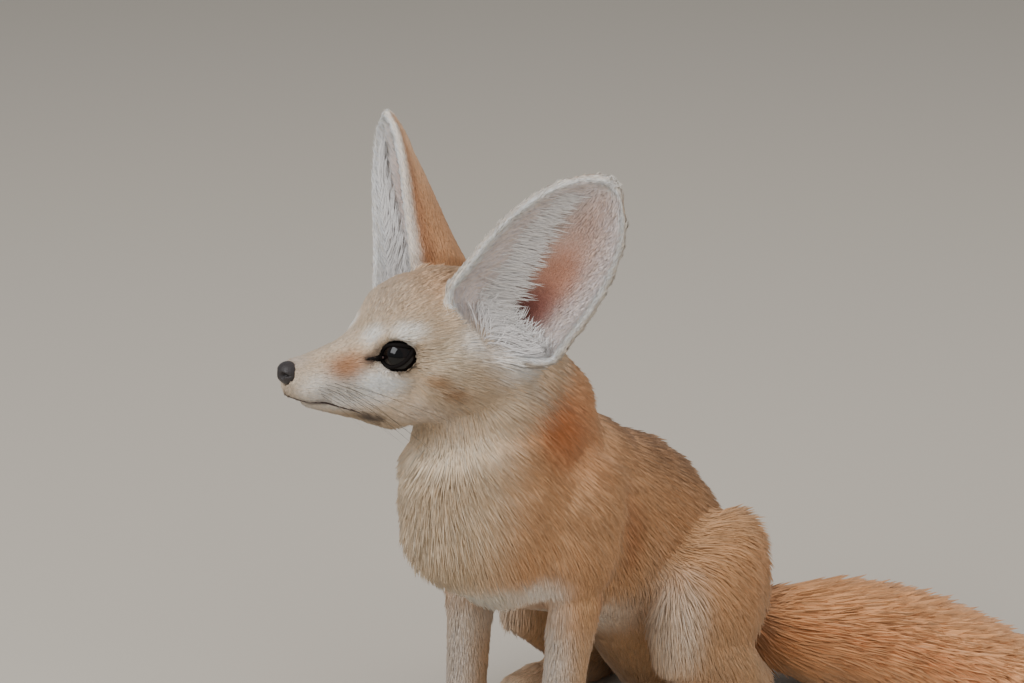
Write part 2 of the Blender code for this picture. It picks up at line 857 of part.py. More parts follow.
class Tail:
    """The tail's middle line as a smooth path, with a point for each arc length, turn and radius."""

    def __init__(self):
        path = smooth_path([Vector(station) for station in TAIL], 8)
        self.places = [Vector(p[:3]) for p in path]
        self.radii = [p[3] for p in path]
        self.arcs = [0.0]
        for a, b in zip(self.places, self.places[1:]):
            self.arcs.append(self.arcs[-1] + (b - a).length)
        self.length = self.arcs[-1]

    def at(self, arc):
        """The place, radius and direction at an arc length, which may run past the end."""
        i = 0
        while i < len(self.arcs) - 2 and self.arcs[i + 1] < arc:
            i += 1
        share = (arc - self.arcs[i]) / (self.arcs[i + 1] - self.arcs[i])
        place = self.places[i].lerp(self.places[i + 1], share)
        radius = self.radii[i] + (self.radii[i + 1] - self.radii[i]) * min(share, 1.0)
        low = self.places[max(i - 1, 0)]
        high = self.places[min(i + 2, len(self.places) - 1)]
        return place, radius, (high - low).normalized()

    def point(self, arc, turn, share, lift=0.0):
        """A point at a share of the radius, plus a lift in millimetres. Turn 0 is straight up."""
        place, radius, along = self.at(arc)
        up = (Vector((0, 0, 1)) - along * along.z).normalized()
        side = along.cross(up)
        out = up * math.cos(turn) + side * math.sin(turn)
        return place + out * (radius * share + lift)


def tail_core(tail, bench):
    sections = []
    stations = 15
    for i in range(stations):
        arc = tail.length * i / stations
        place, radius, along = tail.at(arc)
        up = (Vector((0, 0, 1)) - along * along.z).normalized()
        reach = radius * TAIL_CORE_SHARE * MM
        sections.append((place * MM, along.cross(up) * reach, up * reach))
    return loft(sections, 12, bench, tail.at(tail.length)[0] * MM)


def lock(tail, arc, turn, length, width, bench, draw):
    """One flat, tapered lock whose root is sunk in the core and whose tip reaches the outline."""
    twist = draw.uniform(-0.16, 0.16)
    sway = draw.uniform(-0.10, 0.10)
    reach = draw.uniform(0.97, 1.03)
    root = TAIL_CORE_SHARE - 0.16
    profile = ((0.0, 0.75), (0.36, 1.0), (0.72, 0.74))
    bm = bmesh.new()
    rings = []
    for t, broad in profile:
        here = arc + length * t
        share = root + (reach - root) * math.sin(math.pi / 2 * min(1.0, t * 1.08))
        radius = max(tail.at(here)[1] * share, 1.0)
        half_turn = width * broad / 2 / radius
        thick = LOCK_THICKNESS * (1.0 - 0.45 * t) / 2
        middle = turn + sway * t
        spots = (
            tail.point(here, middle - half_turn, share, -twist * radius),
            tail.point(here, middle, share, thick),
            tail.point(here, middle + half_turn, share, twist * radius),
            tail.point(here, middle, share, -thick),
        )
        rings.append([bm.verts.new(spot * MM) for spot in spots])
    tip = bm.verts.new(tail.point(arc + length, turn + sway * 1.1, reach) * MM)
    for low, high in zip(rings, rings[1:]):
        for i in range(4):
            j = (i + 1) % 4
            bm.faces.new((low[i], low[j], high[j], high[i]))
    bm.faces.new(rings[0])
    for i in range(4):
        bm.faces.new((rings[-1][i], rings[-1][(i + 1) % 4], tip))
    bmesh.ops.triangulate(bm, faces=bm.faces)
    return new_object("lock", mesh_from(bm, "lock"), bench)


def tail_locks(tail, bench):
    draw = random.Random(SEED)
    locks = []
    rows = int(tail.length / LOCK_ROW_PITCH)
    for row in range(rows):
        arc = 8 + LOCK_ROW_PITCH * row
        radius = tail.at(arc)[1]
        count = max(4, round(LOCKS_IN_A_ROW * min(1.0, radius / 24)))
        for i in range(count):
            turn = 2 * math.pi * (i + 0.5 * (row % 2) + draw.uniform(-0.12, 0.12)) / count
            spot = arc + draw.uniform(-3, 3)
            length = LOCK_LENGTH * draw.uniform(0.9, 1.12) * (0.62 + 0.38 * min(1.0, radius / 24))
            width = LOCK_WIDTH * draw.uniform(0.92, 1.1) * (0.4 + 0.6 * min(1.0, radius / 24))
            locks.append(lock(tail, spot, turn, length, width, bench, draw))
    return locks


def build_tail(body, bench):
    """The bushy tail, clear of the rump and flat where it lies on the floor."""
    tail = Tail()
    fur = tail_core(tail, bench)
    combine(fur, tail_locks(tail, bench), "UNION")
    return cut(fur, [grown(body, bench), half_space((0, 0, 0), (0, 0, -1), bench)])


# Claws


def claw(frame, bench):
    """One blunt claw that leaves the front of a toe and curves down."""
    path = [mm(0, -5.2, 1.2), mm(0, -8.0, 0.6), mm(0, -10.4, -0.8)]
    radii = (CLAW_RADIUS, CLAW_RADIUS, CLAW_RADIUS * 0.72)
    sections = [(p, mm(r, 0, 0), mm(0, 0, r * 1.15)) for p, r in zip(path, radii)]
    obj = loft(sections, 6, bench, mm(0, -5.0 - CLAW_LENGTH, -3.0))
    obj.data.transform(frame)
    return obj


def build_claws(side, foot, paw, stem, bench, fox):
    """The four claws of a paw, each let into its toe."""
    for number, frame in enumerate(toe_frames(side, foot), 1):
        nail = claw(frame, bench)
        cut(paw, [grown(nail, bench)])
        publish(nail, f"{stem}_{number}", "claw horn", fox)


# Assembly


def part_limb(body, outline, run, side, joint_height, bench):
    """Takes a limb and its foot out of the body, each with a gap to its neighbour."""
    whole_limb = copy_of(body, bench)
    combine(whole_limb, [region(outline, run, side, bench)], "INTERSECT")
    cut(body, [region(outline, run, side, bench, GAP)])
    foot = copy_of(whole_limb, bench)
    cut(foot, [half_space((0, 0, joint_height), (0, 0, 1), bench)])
    cut(whole_limb, [half_space((0, 0, joint_height), (0, 0, -1), bench, -GAP)])
    return whole_limb, foot


def build_body(skin, fox, bench):
    """Parts the trunk and legs into neck, torso, limbs and feet."""
    body = copy_of(skin, bench)
    upward = [-n for n in NECK_TOP[1]]
    cut(body, [half_space(NECK_TOP[0], upward, bench, -GAP / 2), half_space((0, 0, 0), (0, 0, -1), bench)])
    neck = copy_of(body, bench)
    cut(neck, [half_space(NECK_BASE[0], NECK_BASE[1], bench, -GAP / 2)])
    cut(body, [half_space(NECK_BASE[0], [-n for n in NECK_BASE[1]], bench, -GAP / 2)])
    publish(neck, "neck", "cream fur", fox)
    for side in (1, -1):
        name = side_name(side)
        leg, paw = part_limb(body, FORELEG_REGION, FORELEG_RUN, side, WRIST_HEIGHT, bench)
        publish(leg, f"foreleg_{name}", "cream fur", fox)
        build_claws(side, FORE_BALL, paw, f"fore_claw_{name}", bench, fox)
        publish(paw, f"forepaw_{name}", "cream fur", fox)
        leg, paw = part_limb(body, HIND_REGION, HIND_RUN, side, HOCK_HEIGHT, bench)
        publish(leg, f"hind_leg_{name}", "sand fur", fox)
        build_claws(side, HIND_BALL, paw, f"hind_claw_{name}", bench, fox)
        publish(paw, f"hind_foot_{name}", "cream fur", fox)
    publish(body, "torso", "sand fur", fox)


def centre_on_origin(fox):
    """Moves every solid so that the origin is under the middle of the box round them all."""
    points = [vert.co for obj in fox.objects for vert in obj.data.vertices]
    low = Vector([min(p[i] for p in points) for i in range(3)])
    high = Vector([max(p[i] for p in points) for i in range(3)])
    shift = Matrix.Translation((-(low.x + high.x) / 2, -(low.y + high.y) / 2, -low.z))
    for obj in fox.objects:
        obj.data.transform(shift)


def main():
    clear_scene()
    fox = new_collection("Fennec_fox")
    bench = new_collection("Bench")
    whole = whole_body(bench)

    head_skin = copy_of(whole, bench)
    cut(head_skin, [half_space(Vector(NECK_TOP[0]) - Vector((0, 0, 8)), NECK_TOP[1], bench)])
    simplified(head_skin, 1720)
    nose = build_nose(bench)
    head = build_head(head_skin, nose, bench)
    publish(head, "head", "sand fur", fox)
    publish(nose, "nose", "nose skin", fox)
    for ear in (LEFT_EAR, RIGHT_EAR):
        name = side_name(ear.side)
        publish(eye_ball(ear.side, EYE_RADIUS, bench), f"eye_{name}", "eye", fox)
        publish(build_ear(ear, head_skin, bench), f"ear_{name}", "cream fur", fox)

    upward = [-n for n in NECK_TOP[1]]
    body_skin = whole
    cut(body_skin, [half_space(Vector(NECK_TOP[0]) + Vector((0, 0, 8)), upward, bench)])
    simplified(body_skin, 3000)
    publish(build_tail(body_skin, bench), "tail", "tail fur", fox)
    build_body(body_skin, fox, bench)

    drop(bench.objects)
    centre_on_origin(fox)


main()
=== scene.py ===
"""The looks of a life-size fennec fox in its fur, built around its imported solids.

Places are in millimetres of the fox's own frame unless a name says otherwise: x to the fox's
left, y towards its tail and z up. The head has a frame of its own, with -y out of the nose.
"""

import logging
import math
from collections.abc import Callable
from dataclasses import dataclass
from enum import Enum

import bmesh
import bpy
import numpy as np
from mathutils import Matrix, Vector, noise
from mathutils.bvhtree import BVHTree
from mathutils.kdtree import KDTree


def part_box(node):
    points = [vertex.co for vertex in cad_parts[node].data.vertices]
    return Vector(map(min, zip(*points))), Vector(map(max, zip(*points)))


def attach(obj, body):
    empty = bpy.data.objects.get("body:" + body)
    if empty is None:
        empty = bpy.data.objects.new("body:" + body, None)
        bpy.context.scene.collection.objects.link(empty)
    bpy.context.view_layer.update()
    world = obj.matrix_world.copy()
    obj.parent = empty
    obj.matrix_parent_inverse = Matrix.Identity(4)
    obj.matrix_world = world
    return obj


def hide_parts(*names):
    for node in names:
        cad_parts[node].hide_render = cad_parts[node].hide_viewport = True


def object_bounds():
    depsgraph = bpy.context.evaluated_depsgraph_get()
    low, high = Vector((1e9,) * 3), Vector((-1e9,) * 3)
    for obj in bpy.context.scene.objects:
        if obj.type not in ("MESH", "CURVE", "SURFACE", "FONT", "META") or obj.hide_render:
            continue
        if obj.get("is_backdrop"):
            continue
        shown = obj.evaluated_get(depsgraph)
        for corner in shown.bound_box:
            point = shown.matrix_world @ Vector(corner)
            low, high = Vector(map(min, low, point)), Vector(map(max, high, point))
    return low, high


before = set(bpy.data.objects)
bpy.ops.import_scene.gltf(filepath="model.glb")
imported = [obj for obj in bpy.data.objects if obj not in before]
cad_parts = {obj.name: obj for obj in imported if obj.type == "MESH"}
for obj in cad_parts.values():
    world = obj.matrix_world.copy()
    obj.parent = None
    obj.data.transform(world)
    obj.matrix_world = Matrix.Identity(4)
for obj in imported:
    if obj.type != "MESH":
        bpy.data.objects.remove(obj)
CAD_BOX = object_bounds()

LOG = logging.getLogger("fennec")
MM = 0.001
BODY = "root"
COLOUR = "coat_colour"
BAKE_MAP = "OFBake"
Array = np.ndarray


class Side(Enum):
    """The fox's own left and right, as the sign of x."""

    LEFT = 1
    RIGHT = -1


class Region(Enum):
    """The parts of the skin that grow a coat of their own."""

    FACE = 0
    HEAD = 1
    EAR_LEFT = 2
    EAR_RIGHT = 3
    NECK = 4
    CHEST = 5
    BACK = 6
    FORELEGS = 7
    HIND_LEGS = 8
    TAIL = 9


def linear(colour: tuple[float, float, float]) -> Array:
    """A colour of 0 to 255 as a screen shows it, in linear light."""
    share = np.asarray(colour, float) / 255
    return np.where(share <= 0.04045, share / 12.92, ((share + 0.055) / 1.055) ** 2.4)


def unit(vectors: Array) -> Array:
    """Vectors at length one."""
    return vectors / np.maximum(np.linalg.norm(vectors, axis=-1, keepdims=True), 1e-12)


def ease(values: Array, low: float, high: float) -> Array:
    """A smooth step from 0 at low to 1 at high."""
    share = np.clip((values - low) / (high - low), 0, 1)
    return share * share * (3 - 2 * share)


def link(obj: bpy.types.Object) -> bpy.types.Object:
    """Puts an object in the scene's collection."""
    bpy.context.scene.collection.objects.link(obj)
    return obj


def finished(name: str, bm: bmesh.types.BMesh, smooth: bool = True) -> bpy.types.Object:
    """Turns a bmesh in metres into an object at the origin.

    Args:
        name: The piece's name.
        bm: Its shape, which is freed.
        smooth: Whether its faces are shaded smooth.

    Returns:
        The new object.
    """
    bm.normal_update()
    bmesh.ops.recalc_face_normals(bm, faces=bm.faces)
    mesh = bpy.data.meshes.new(name)
    bm.to_mesh(mesh)
    bm.free()
    mesh.polygons.foreach_set("use_smooth", [smooth] * len(mesh.polygons))
    return link(bpy.data.objects.new(name, mesh))


def mesh_of(name: str, points: Array, triangles: Array) -> bpy.types.Mesh:
    """A mesh of loose arrays: points in metres and triangles of their numbers.

    Args:
        name: The mesh's name.
        points: One row of x, y, z for each point.
        triangles: One row of three point numbers for each face.

    Returns:
        The new mesh, shaded smooth.
    """
    mesh = bpy.data.meshes.new(name)
    mesh.vertices.add(len(points))
    mesh.vertices.foreach_set("co", points.astype(np.float32).ravel())
    mesh.loops.add(triangles.size)
    mesh.loops.foreach_set("vertex_index", triangles.astype(np.int32).ravel())
    mesh.polygons.add(len(triangles))
    starts = np.arange(0, triangles.size, 3, dtype=np.int32)
    mesh.polygons.foreach_set("loop_start", starts)
    mesh.polygons.foreach_set("use_smooth", np.ones(len(triangles), bool))
    mesh.update(calc_edges=True)
    return mesh


def paint(mesh: bpy.types.Mesh, colours: Array) -> None:
    """Gives each point of a mesh its colour, in linear light."""
    layer = mesh.color_attributes.new(COLOUR, "FLOAT_COLOR", "POINT")
    rows = np.ones((len(colours), 4), np.float32)
    rows[:, :3] = colours
    layer.data.foreach_set("color", rows.ravel())


@dataclass(frozen=True)
class Leaf:
    """The closed form of one tuft: each point's share of the length, place across, height and breadth."""

    spots: tuple[tuple[float, float, float, float], ...]
    faces: tuple[tuple[int, int, int], ...]
    patch: float = 0.0028

    def mesh(self, name: str, line: Callable, half: Array, side: Array, rise: Array, shade: Callable) -> bpy.types.Mesh:
        """Builds many tufts as one painted mesh.

        Args:
            name: The mesh's name.
            line: Gives the tufts' middle lines at a share of their length.
            half: Half of each tuft's width, in metres.
            side: The way across each tuft.
            rise: The way out of the coat at each tuft.
            shade: Gives the tufts' colours at a share of their length, with painted shade at their roots.

        Returns:
            The mesh, painted, with every tuft above the floor.
        """
        rows, paints = [], []
        for share, across, high, broad in self.spots:
            rows.append(line(share) + (side * across + rise * high) * (half * broad)[:, None])
            paints.append(shade(share))
        points = np.stack(rows, 1).reshape(-1, 3)
        points[:, 2] = np.maximum(points[:, 2], CAD_BOX[0].z)
        mesh = mesh_of(name, points, self.numbered(len(half)))
        paint(mesh, np.clip(np.stack(paints, 1).reshape(-1, 3), 0, 0.96))
        return mesh

    def numbered(self, count: int) -> Array:
        """The triangles of so many tufts, by their points' numbers."""
        steps = np.arange(count)[:, None, None] * len(self.spots)
        return (steps + np.array(self.faces)[None]).reshape(-1, 3)

    def soften(self, mesh: bpy.types.Mesh, lean: Array) -> None:
        """Leans the shading of each tuft towards one direction, so that the coat reads as one."""
        own = np.empty(len(mesh.vertices) * 3, np.float32)
        mesh.vertices.foreach_get("normal", own)
        soft = unit(np.repeat(lean, len(self.spots), axis=0) * 0.9 + own.reshape(-1, 3) * 0.15)
        mesh.normals_split_custom_set_from_vertices(soft.astype(np.float32))

    def unwrap(self, mesh: bpy.types.Mesh, flat: Array) -> None:
        """Gives each tuft a small patch of the bake map at its root's place, given as two shares."""
        offsets = [((across + 1) / 2, share + (0.12 if high > 0.32 else 0)) for share, across, high, _ in self.spots]
        spots = (0.004 + flat[:, None] * 0.988 + np.array(offsets)[None] * self.patch).reshape(-1, 2)
        mesh.uv_layers.new(name=BAKE_MAP)
        corners = spots[self.numbered(len(flat)).ravel()].astype(np.float32)
        mesh.uv_layers[BAKE_MAP].uv.foreach_set("vector", corners.ravel())


LEAF = Leaf(
    ((0, 0, 0, 0), (0.38, 1, 0.3, 1), (0.38, -1, 0.3, 1), (1, 0, 0, 0)),
    ((0, 2, 1), (1, 2, 3), (0, 1, 3), (0, 3, 2)),
)
LONG_LOCK = Leaf(
    (
        (0, 0, 0, 0),
        (0.25, 1, -0.12, 1),
        (0.25, 0, 0.34, 1),
        (0.25, -1, -0.12, 1),
        (0.62, 1, -0.12, 0.8),
        (0.62, 0, 0.34, 0.8),
        (0.62, -1, -0.12, 0.8),
        (1, 0, 0, 0),
    ),
    (
        (0, 2, 1),
        (0, 3, 2),
        (0, 1, 3),
        (1, 2, 5),
        (1, 5, 4),
        (2, 3, 6),
        (2, 6, 5),
        (3, 1, 4),
        (3, 4, 6),
        (7, 4, 5),
        (7, 5, 6),
        (7, 6, 4),
    ),
)


def smooth_path(knots: list[Vector], steps: int) -> list[Vector]:
    """Points of a smooth line through knots of any number of values.

    Args:
        knots: The points that the line goes through.
        steps: How many points each stretch between two knots gets.

    Returns:
        The line's points, first and last knot among them.
    """
    ends = [knots[0] * 2 - knots[1], *knots, knots[-1] * 2 - knots[-2]]
    line = []
    for i in range(1, len(ends) - 2):
        a, b, c, d = ends[i - 1 : i + 3]
        for step in range(steps):
            t = step / steps
            line.append(
                (b * 2 + (c - a) * t + (a * 2 - b * 5 + c * 4 - d) * t**2 + (b * 3 - a - c * 3 + d) * t**3) / 2
            )
    return [*line, knots[-1]]


def sweep(
    bm: bmesh.types.BMesh, path: list[Vector], radii: list[float], sides: int = 8, facing: Vector = Vector((0, 0, 1))
) -> None:
    """Adds a closed tube along a path, in metres, with rounded-off ends where its radius is small.

    Args:
        bm: The bmesh that gets the tube.
        path: The tube's middle line.
        radii: Its radius at each point of the path.
        sides: How many sides it has.
        facing: A way that the path seldom runs, from which its rings are turned.
    """
    rings = []
    for i, (place, radius) in enumerate(zip(path, radii)):
        along = (path[min(i + 1, len(path) - 1)] - path[max(i - 1, 0)]).normalized()
        across = along.cross(facing)
        across = (across if across.length > 0.05 else along.cross(Vector((1, 0, 0)))).normalized()
        turn = Matrix((across, across.cross(along), along)).transposed().to_4x4()
        ring = bmesh.ops.create_circle(bm, segments=sides, radius=radius, matrix=Matrix.Translation(place) @ turn)
        rings.append(ring["verts"])
    for low, high in zip(rings, rings[1:]):
        edges = [e for ring in (low, high) for e in {e for v in ring for e in v.link_edges if e.other_vert(v) in ring}]
        bmesh.ops.bridge_loops(bm, edges=list(dict.fromkeys(edges)))
    for ring in (rings[0], rings[-1]):
        bmesh.ops.contextual_create(bm, geom=ring)


@dataclass(frozen=True)
class FoxFrame:
    """Where the fox's own frame and its head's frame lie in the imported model."""

    head_at: tuple[float, float, float] = (-22.5, -66.0, 197.0)
    head_turn: float = math.radians(-22.0)
    eye_centre: tuple[float, float, float] = (13.243, 6.644, -2.165)

    def head(self) -> Matrix:
        """The head's frame in the fox's own, in metres."""
        return Matrix.Translation(Vector(self.head_at) * MM) @ Matrix.Rotation(self.head_turn, 4, "Z")

    def shift(self) -> Vector:
        """From the fox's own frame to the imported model's, in metres."""
        low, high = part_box("eye_left")
        return (low + high) / 2 - self.head() @ (Vector(self.eye_centre) * MM)

    def model_from_head(self) -> Matrix:
        """From the head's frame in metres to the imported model's."""
        return Matrix.Translation(self.shift()) @ self.head()

    def to_body(self, points: Array) -> Array:
        """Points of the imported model, in metres, in the fox's own frame in millimetres."""
        return (points - np.array(self.shift())) / MM

    def from_body(self, points: Array) -> Array:
        """Points of the fox's own frame, in millimetres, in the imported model."""
        return np.asarray(points, float) * MM + np.array(self.shift())

    def to_head(self, points: Array) -> Array:
        """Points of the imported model, in metres, in the head's frame in millimetres."""
        back = np.array(self.model_from_head().inverted())
        return (points @ back[:3, :3].T + back[:3, 3]) / MM

    def from_head(self, points: Array) -> Array:
        """Points of the head's frame, in millimetres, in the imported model."""
        on = np.array(self.model_from_head())
        return np.asarray(points, float) * MM @ on[:3, :3].T + on[:3, 3]

    def turned(self, directions: Array) -> Array:
        """Directions of the head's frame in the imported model."""
        return np.asarray(directions, float) @ np.array(self.model_from_head())[:3, :3].T


@dataclass(frozen=True)
class EyeShape:
    """The eyeball and the almond of its lids, in the head's frame."""

    radius: float = 7.8
    apex: tuple[float, float, float] = (18.8, 1.4, -0.6)
    looks: tuple[float, float, float] = (0.71, -0.67, 0.20)
    corners: tuple[float, float, float] = (-0.52, -0.80, -0.16)
    wide: float = 13.4
    high: float = 10.2
    droop: float = 0.47
    narrow: float = 0.85

    def axes(self, side: Side) -> tuple[Array, Array, Array]:
        """The way the eye looks, the way to its inner corner and the way up, for one side."""
        sign = np.array((side.value, 1, 1))
        look = unit(np.array(self.looks) * sign)
        corner = np.array(self.corners) * sign
        corner = unit(corner - look * (corner @ look))
        return look, corner, unit(np.cross(look, corner)) * side.value

    def centre(self, side: Side) -> Array:
        """The middle of the eyeball."""
        return np.array(self.apex) * (side.value, 1, 1) - self.axes(side)[0] * self.radius

    def almond(self, side: Side, points: Array) -> tuple[Array, Array]:
        """How far points lie from the middle of the opening, with 1 at the lids' edge.

        Args:
            side: Which eye.
            points: Places in the head's frame.

        Returns:
            The share of the way to the lids' edge, and the distance forward of the eye's middle.
        """
        look, corner, rise = self.axes(side)
        away = points - self.centre(side)
        across = (away @ corner) / (self.wide / 2)
        outer = np.clip((1 - across) / 2, 0, 1) ** 1.2
        up = (away @ rise) / (self.high / 2) + self.droop * outer
        up = np.where(up < 0, up / (1 - self.narrow * outer), up)
        return np.hypot(across, up), away @ look

    def edge(self, side: Side, flare: float, radius: float, turn: float) -> Array:
        """A point of the almond on a sphere about the eye's middle.

        Args:
            side: Which eye.
            flare: The size of the almond, with 1 at the lids' edge.
            radius: The sphere's radius.
            turn: The angle from the inner corner.

        Returns:
            The point in the head's frame.
        """
        look, corner, rise = self.axes(side)
        outer = ((1 - math.cos(turn)) / 2) ** 1.2
        high = math.sin(turn) * (1 - (self.narrow * outer if math.sin(turn) < 0 else 0)) - self.droop * outer
        spot = (corner * math.cos(turn) * self.wide + rise * high * self.high) / 2 * flare
        deep = math.sqrt(max(radius**2 - spot @ spot, 1.0))
        return self.centre(side) + look * deep + spot


@dataclass(frozen=True)
class EarShape:
    """One ear's cup, as a surface of v from foot to tip and u from the front rim to the rear."""

    side: Side
    base: tuple[float, float, float]
    axis: tuple[float, float, float]
    opening: tuple[float, float, float]
    half_width: float
    half_turns: tuple[float, float]
    twist: float
    depth_share: float
    closes_at: float
    foot: float
    foot_share: float
    widest_at: float = 0.35
    twist_to: float = 0.5

    def length(self) -> float:
        """The ear's length in millimetres."""
        return Vector(self.axis).length

    def frame(self) -> Matrix:
        """The ear's frame in the head's, in metres."""
        up = Vector(self.axis).normalized()
        opening = Vector(self.opening)
        back = -(opening - up * opening.dot(up)).normalized()
        across = self.side.value * back.cross(up)
        turn = Matrix((across, back, up)).transposed().to_4x4()
        return Matrix.Translation(Vector(self.base) * MM) @ turn

    def widths(self, v: Array) -> Array:
        """Half the ear's width at each v."""
        low = np.clip(1 - v / self.widest_at, 0, None)
        closing = np.clip((self.closes_at - v) / (self.closes_at - self.foot), 0, None) ** 2
        share = np.clip((v - self.widest_at) / (1 - self.widest_at), 0, None)
        rise = (1 + 0.08 * low**2) * (1 - (1 - self.foot_share) * closing)
        return self.half_width * rise * np.clip(1 - share**2.4, 0, None) ** 0.625

    def points(self, v: Array, u: Array) -> Array:
        """Places of the cup's middle surface in the head's frame, in millimetres.

        Args:
            v: Shares of the length, below 0 inside the head.
            u: From -1 at the front rim to 1 at the rear rim.

        Returns:
            One row of x, y, z for each pair.
        """
        half_turn = self.half_turns[0] + (self.half_turns[1] - self.half_turns[0]) * np.minimum(1, v / 0.75)
        radius = self.widths(v) / np.sin(np.minimum(half_turn, math.pi / 2))
        turn = half_turn * u
        across = radius * np.sin(turn)
        depth = radius * (np.cos(turn) - np.cos(half_turn)) * self.depth_share
        twist = self.twist * np.clip(1 - np.maximum(v, 0) / self.twist_to, 0, None) ** 1.5
        local = np.stack(
            (
                across * np.cos(twist) - depth * np.sin(twist),
                across * np.sin(twist) + depth * np.cos(twist),
                v * self.length(),
            ),
            -1,
        )
        on = np.array(self.frame())
        return local @ on[:3, :3].T + on[:3, 3] / MM

    def ridge(self, v: Array) -> Array:
        """The u where the long hair of the front panel ends, at each v."""
        return 0.07 - 0.70 * v

    def rim(self, v: Array, u: Array) -> Array:
        """How near places are to the ear's edge, from 0 to 1 on its velvet roll."""
        return np.maximum(ease(np.abs(u), 0.86, 0.96), ease(v, 0.92, 0.975))

    def steps(self, v: Array, u: Array) -> tuple[Array, Array, Array]:
        """The ways up the ear, towards the rear rim and into the cup at places of it."""
        here = self.points(v, u)
        small = 0.01
        up = unit(self.points(np.minimum(v + small, 0.995), u) - here + 1e-9)
        over = unit(self.points(v, u + small) - here)
        return up, over, unit(np.cross(over, up)) * self.side.value


EARS = (
    EarShape(
        Side.LEFT,
        base=(24.14, 36.2, -3.49),
        axis=(37.64, 38.56, 74.25),
        opening=(0.87, -0.40, 0.28),
        half_width=25.2,
        half_turns=(math.radians(98), math.radians(56)),
        twist=math.radians(15.4),
        depth_share=0.7,
        closes_at=0.19,
        foot=0.03,
        foot_share=0.14,
    ),
    EarShape(
        Side.RIGHT,
        base=(-36.4, 27.6, 8.7),
        axis=(-37.4, 14.4, 66.0),
        opening=(-0.36, -0.88, 0.38),
        half_width=24.6,
        half_turns=(math.radians(112), math.radians(56)),
        twist=math.radians(-4.5),
        depth_share=1.0,
        closes_at=0.12,
        foot=-0.15,
        foot_share=0.2,
    ),
)


class TailShape:
    """The tail's middle line, with the radius out to the tips of its fur."""

    stations = (
        (4, 116, 34, 15),
        (14, 136, 29, 21),
        (42, 153, 26.5, 25.5),
        (78, 161, 26, 26.5),
        (113, 159, 25, 25.5),
        (146, 151, 23.5, 23.5),
        (174, 137, 21, 20.5),
        (195, 120, 18, 16),
        (209, 103, 15, 10.5),
    )
    core_share = 0.5

    def __init__(self) -> None:
        """Works out the line's places, radii and arc lengths."""
        path = np.array([list(p) for p in smooth_path([Vector(s) for s in self.stations], 12)])
        self.places = path[:, :3]
        self.radii = path[:, 3]
        lengths = np.linalg.norm(np.diff(self.places, axis=0), axis=1)
        self.arcs = np.concatenate(([0], np.cumsum(lengths)))
        self.length = float(self.arcs[-1])
        self.along = unit(np.gradient(self.places, axis=0))

    def nearest(self, points: Array) -> tuple[Array, Array, Array]:
        """For points of the fox's frame: the nearest station, the distance to it and the turn about it."""
        station = np.empty(len(points), int)
        for start in range(0, len(points), 20000):
            part = points[start : start + 20000]
            gaps = np.linalg.norm(part[:, None] - self.places[None], axis=2)
            station[start : start + 20000] = gaps.argmin(1)
        away = points - self.places[station]
        along = self.along[station]
        away -= along * (away * along).sum(1, keepdims=True)
        up = unit(np.array((0, 0, 1.0)) - along * along[:, 2:3])
        side = np.cross(along, up)
        turn = np.arctan2((away * side).sum(1), (away * up).sum(1))
        return station, np.linalg.norm(away, axis=1), turn


@dataclass(frozen=True)
class Guide:
    """How the fur lies at one place: where it runs, how long, steep and broad its tufts are."""

    at: tuple[float, float, float]
    run: tuple[float, float, float]
    length: float
    lift: float
    width: float


HEAD_GUIDES = (
    Guide((0, -33.6, -1), (0, 1, 0.1), 1.7, 14, 0.28),
    Guide((0, -20, 2), (0, 1, 0.15), 2.4, 13, 0.30),
    Guide((0, -6, 10), (0, 1, 0.5), 3.4, 15, 0.34),
    Guide((0, 12, 22), (0, 1, 0.3), 5.0, 16, 0.38),
    Guide((0, 32, 26), (0, 1, 0), 7.5, 16, 0.45),
    Guide((0, 55, 17), (0, 1, -0.5), 9.0, 16, 0.55),
    Guide((7.5, -32, -9), (0.15, 1, 0), 1.8, 15, 0.28),
    Guide((9, -20, -9), (0.2, 1, -0.1), 2.8, 15, 0.30),
    Guide((13, -8, -9), (0.5, 0.9, -0.3), 3.2, 15, 0.32),
    Guide((20, 2, -13), (0.3, 1, -0.3), 5.0, 16, 0.36),
    Guide((13, -4, 8), (0.4, 0.7, 0.6), 3.4, 15, 0.32),
    Guide((21, 10, 9), (0.2, 0.9, 0.3), 4.6, 15, 0.36),
    Guide((26, 20, 6), (0.1, 1, 0.1), 6.0, 16, 0.4),
    Guide((26, 18, -5), (0.2, 1, -0.2), 7.0, 17, 0.42),
    Guide((27, 30, -15), (0.25, 0.9, -0.45), 10.0, 19, 0.48),
    Guide((28, 46, -12), (0.3, 0.9, -0.4), 13, 19, 0.52),
    Guide((14, 6, -30), (0.1, 0.9, -0.4), 6.0, 17, 0.4),
    Guide((0, -29, -20), (0, 1, -0.3), 2.2, 15, 0.3),
    Guide((0, 0, -34), (0, 0.9, -0.5), 6.0, 17, 0.4),
    Guide((10, -18, -17), (0.1, 0.9, -0.4), 2.6, 16, 0.3),
    Guide((0, 24, -42), (0, 0.6, -0.9), 10.0, 19, 0.5),
)

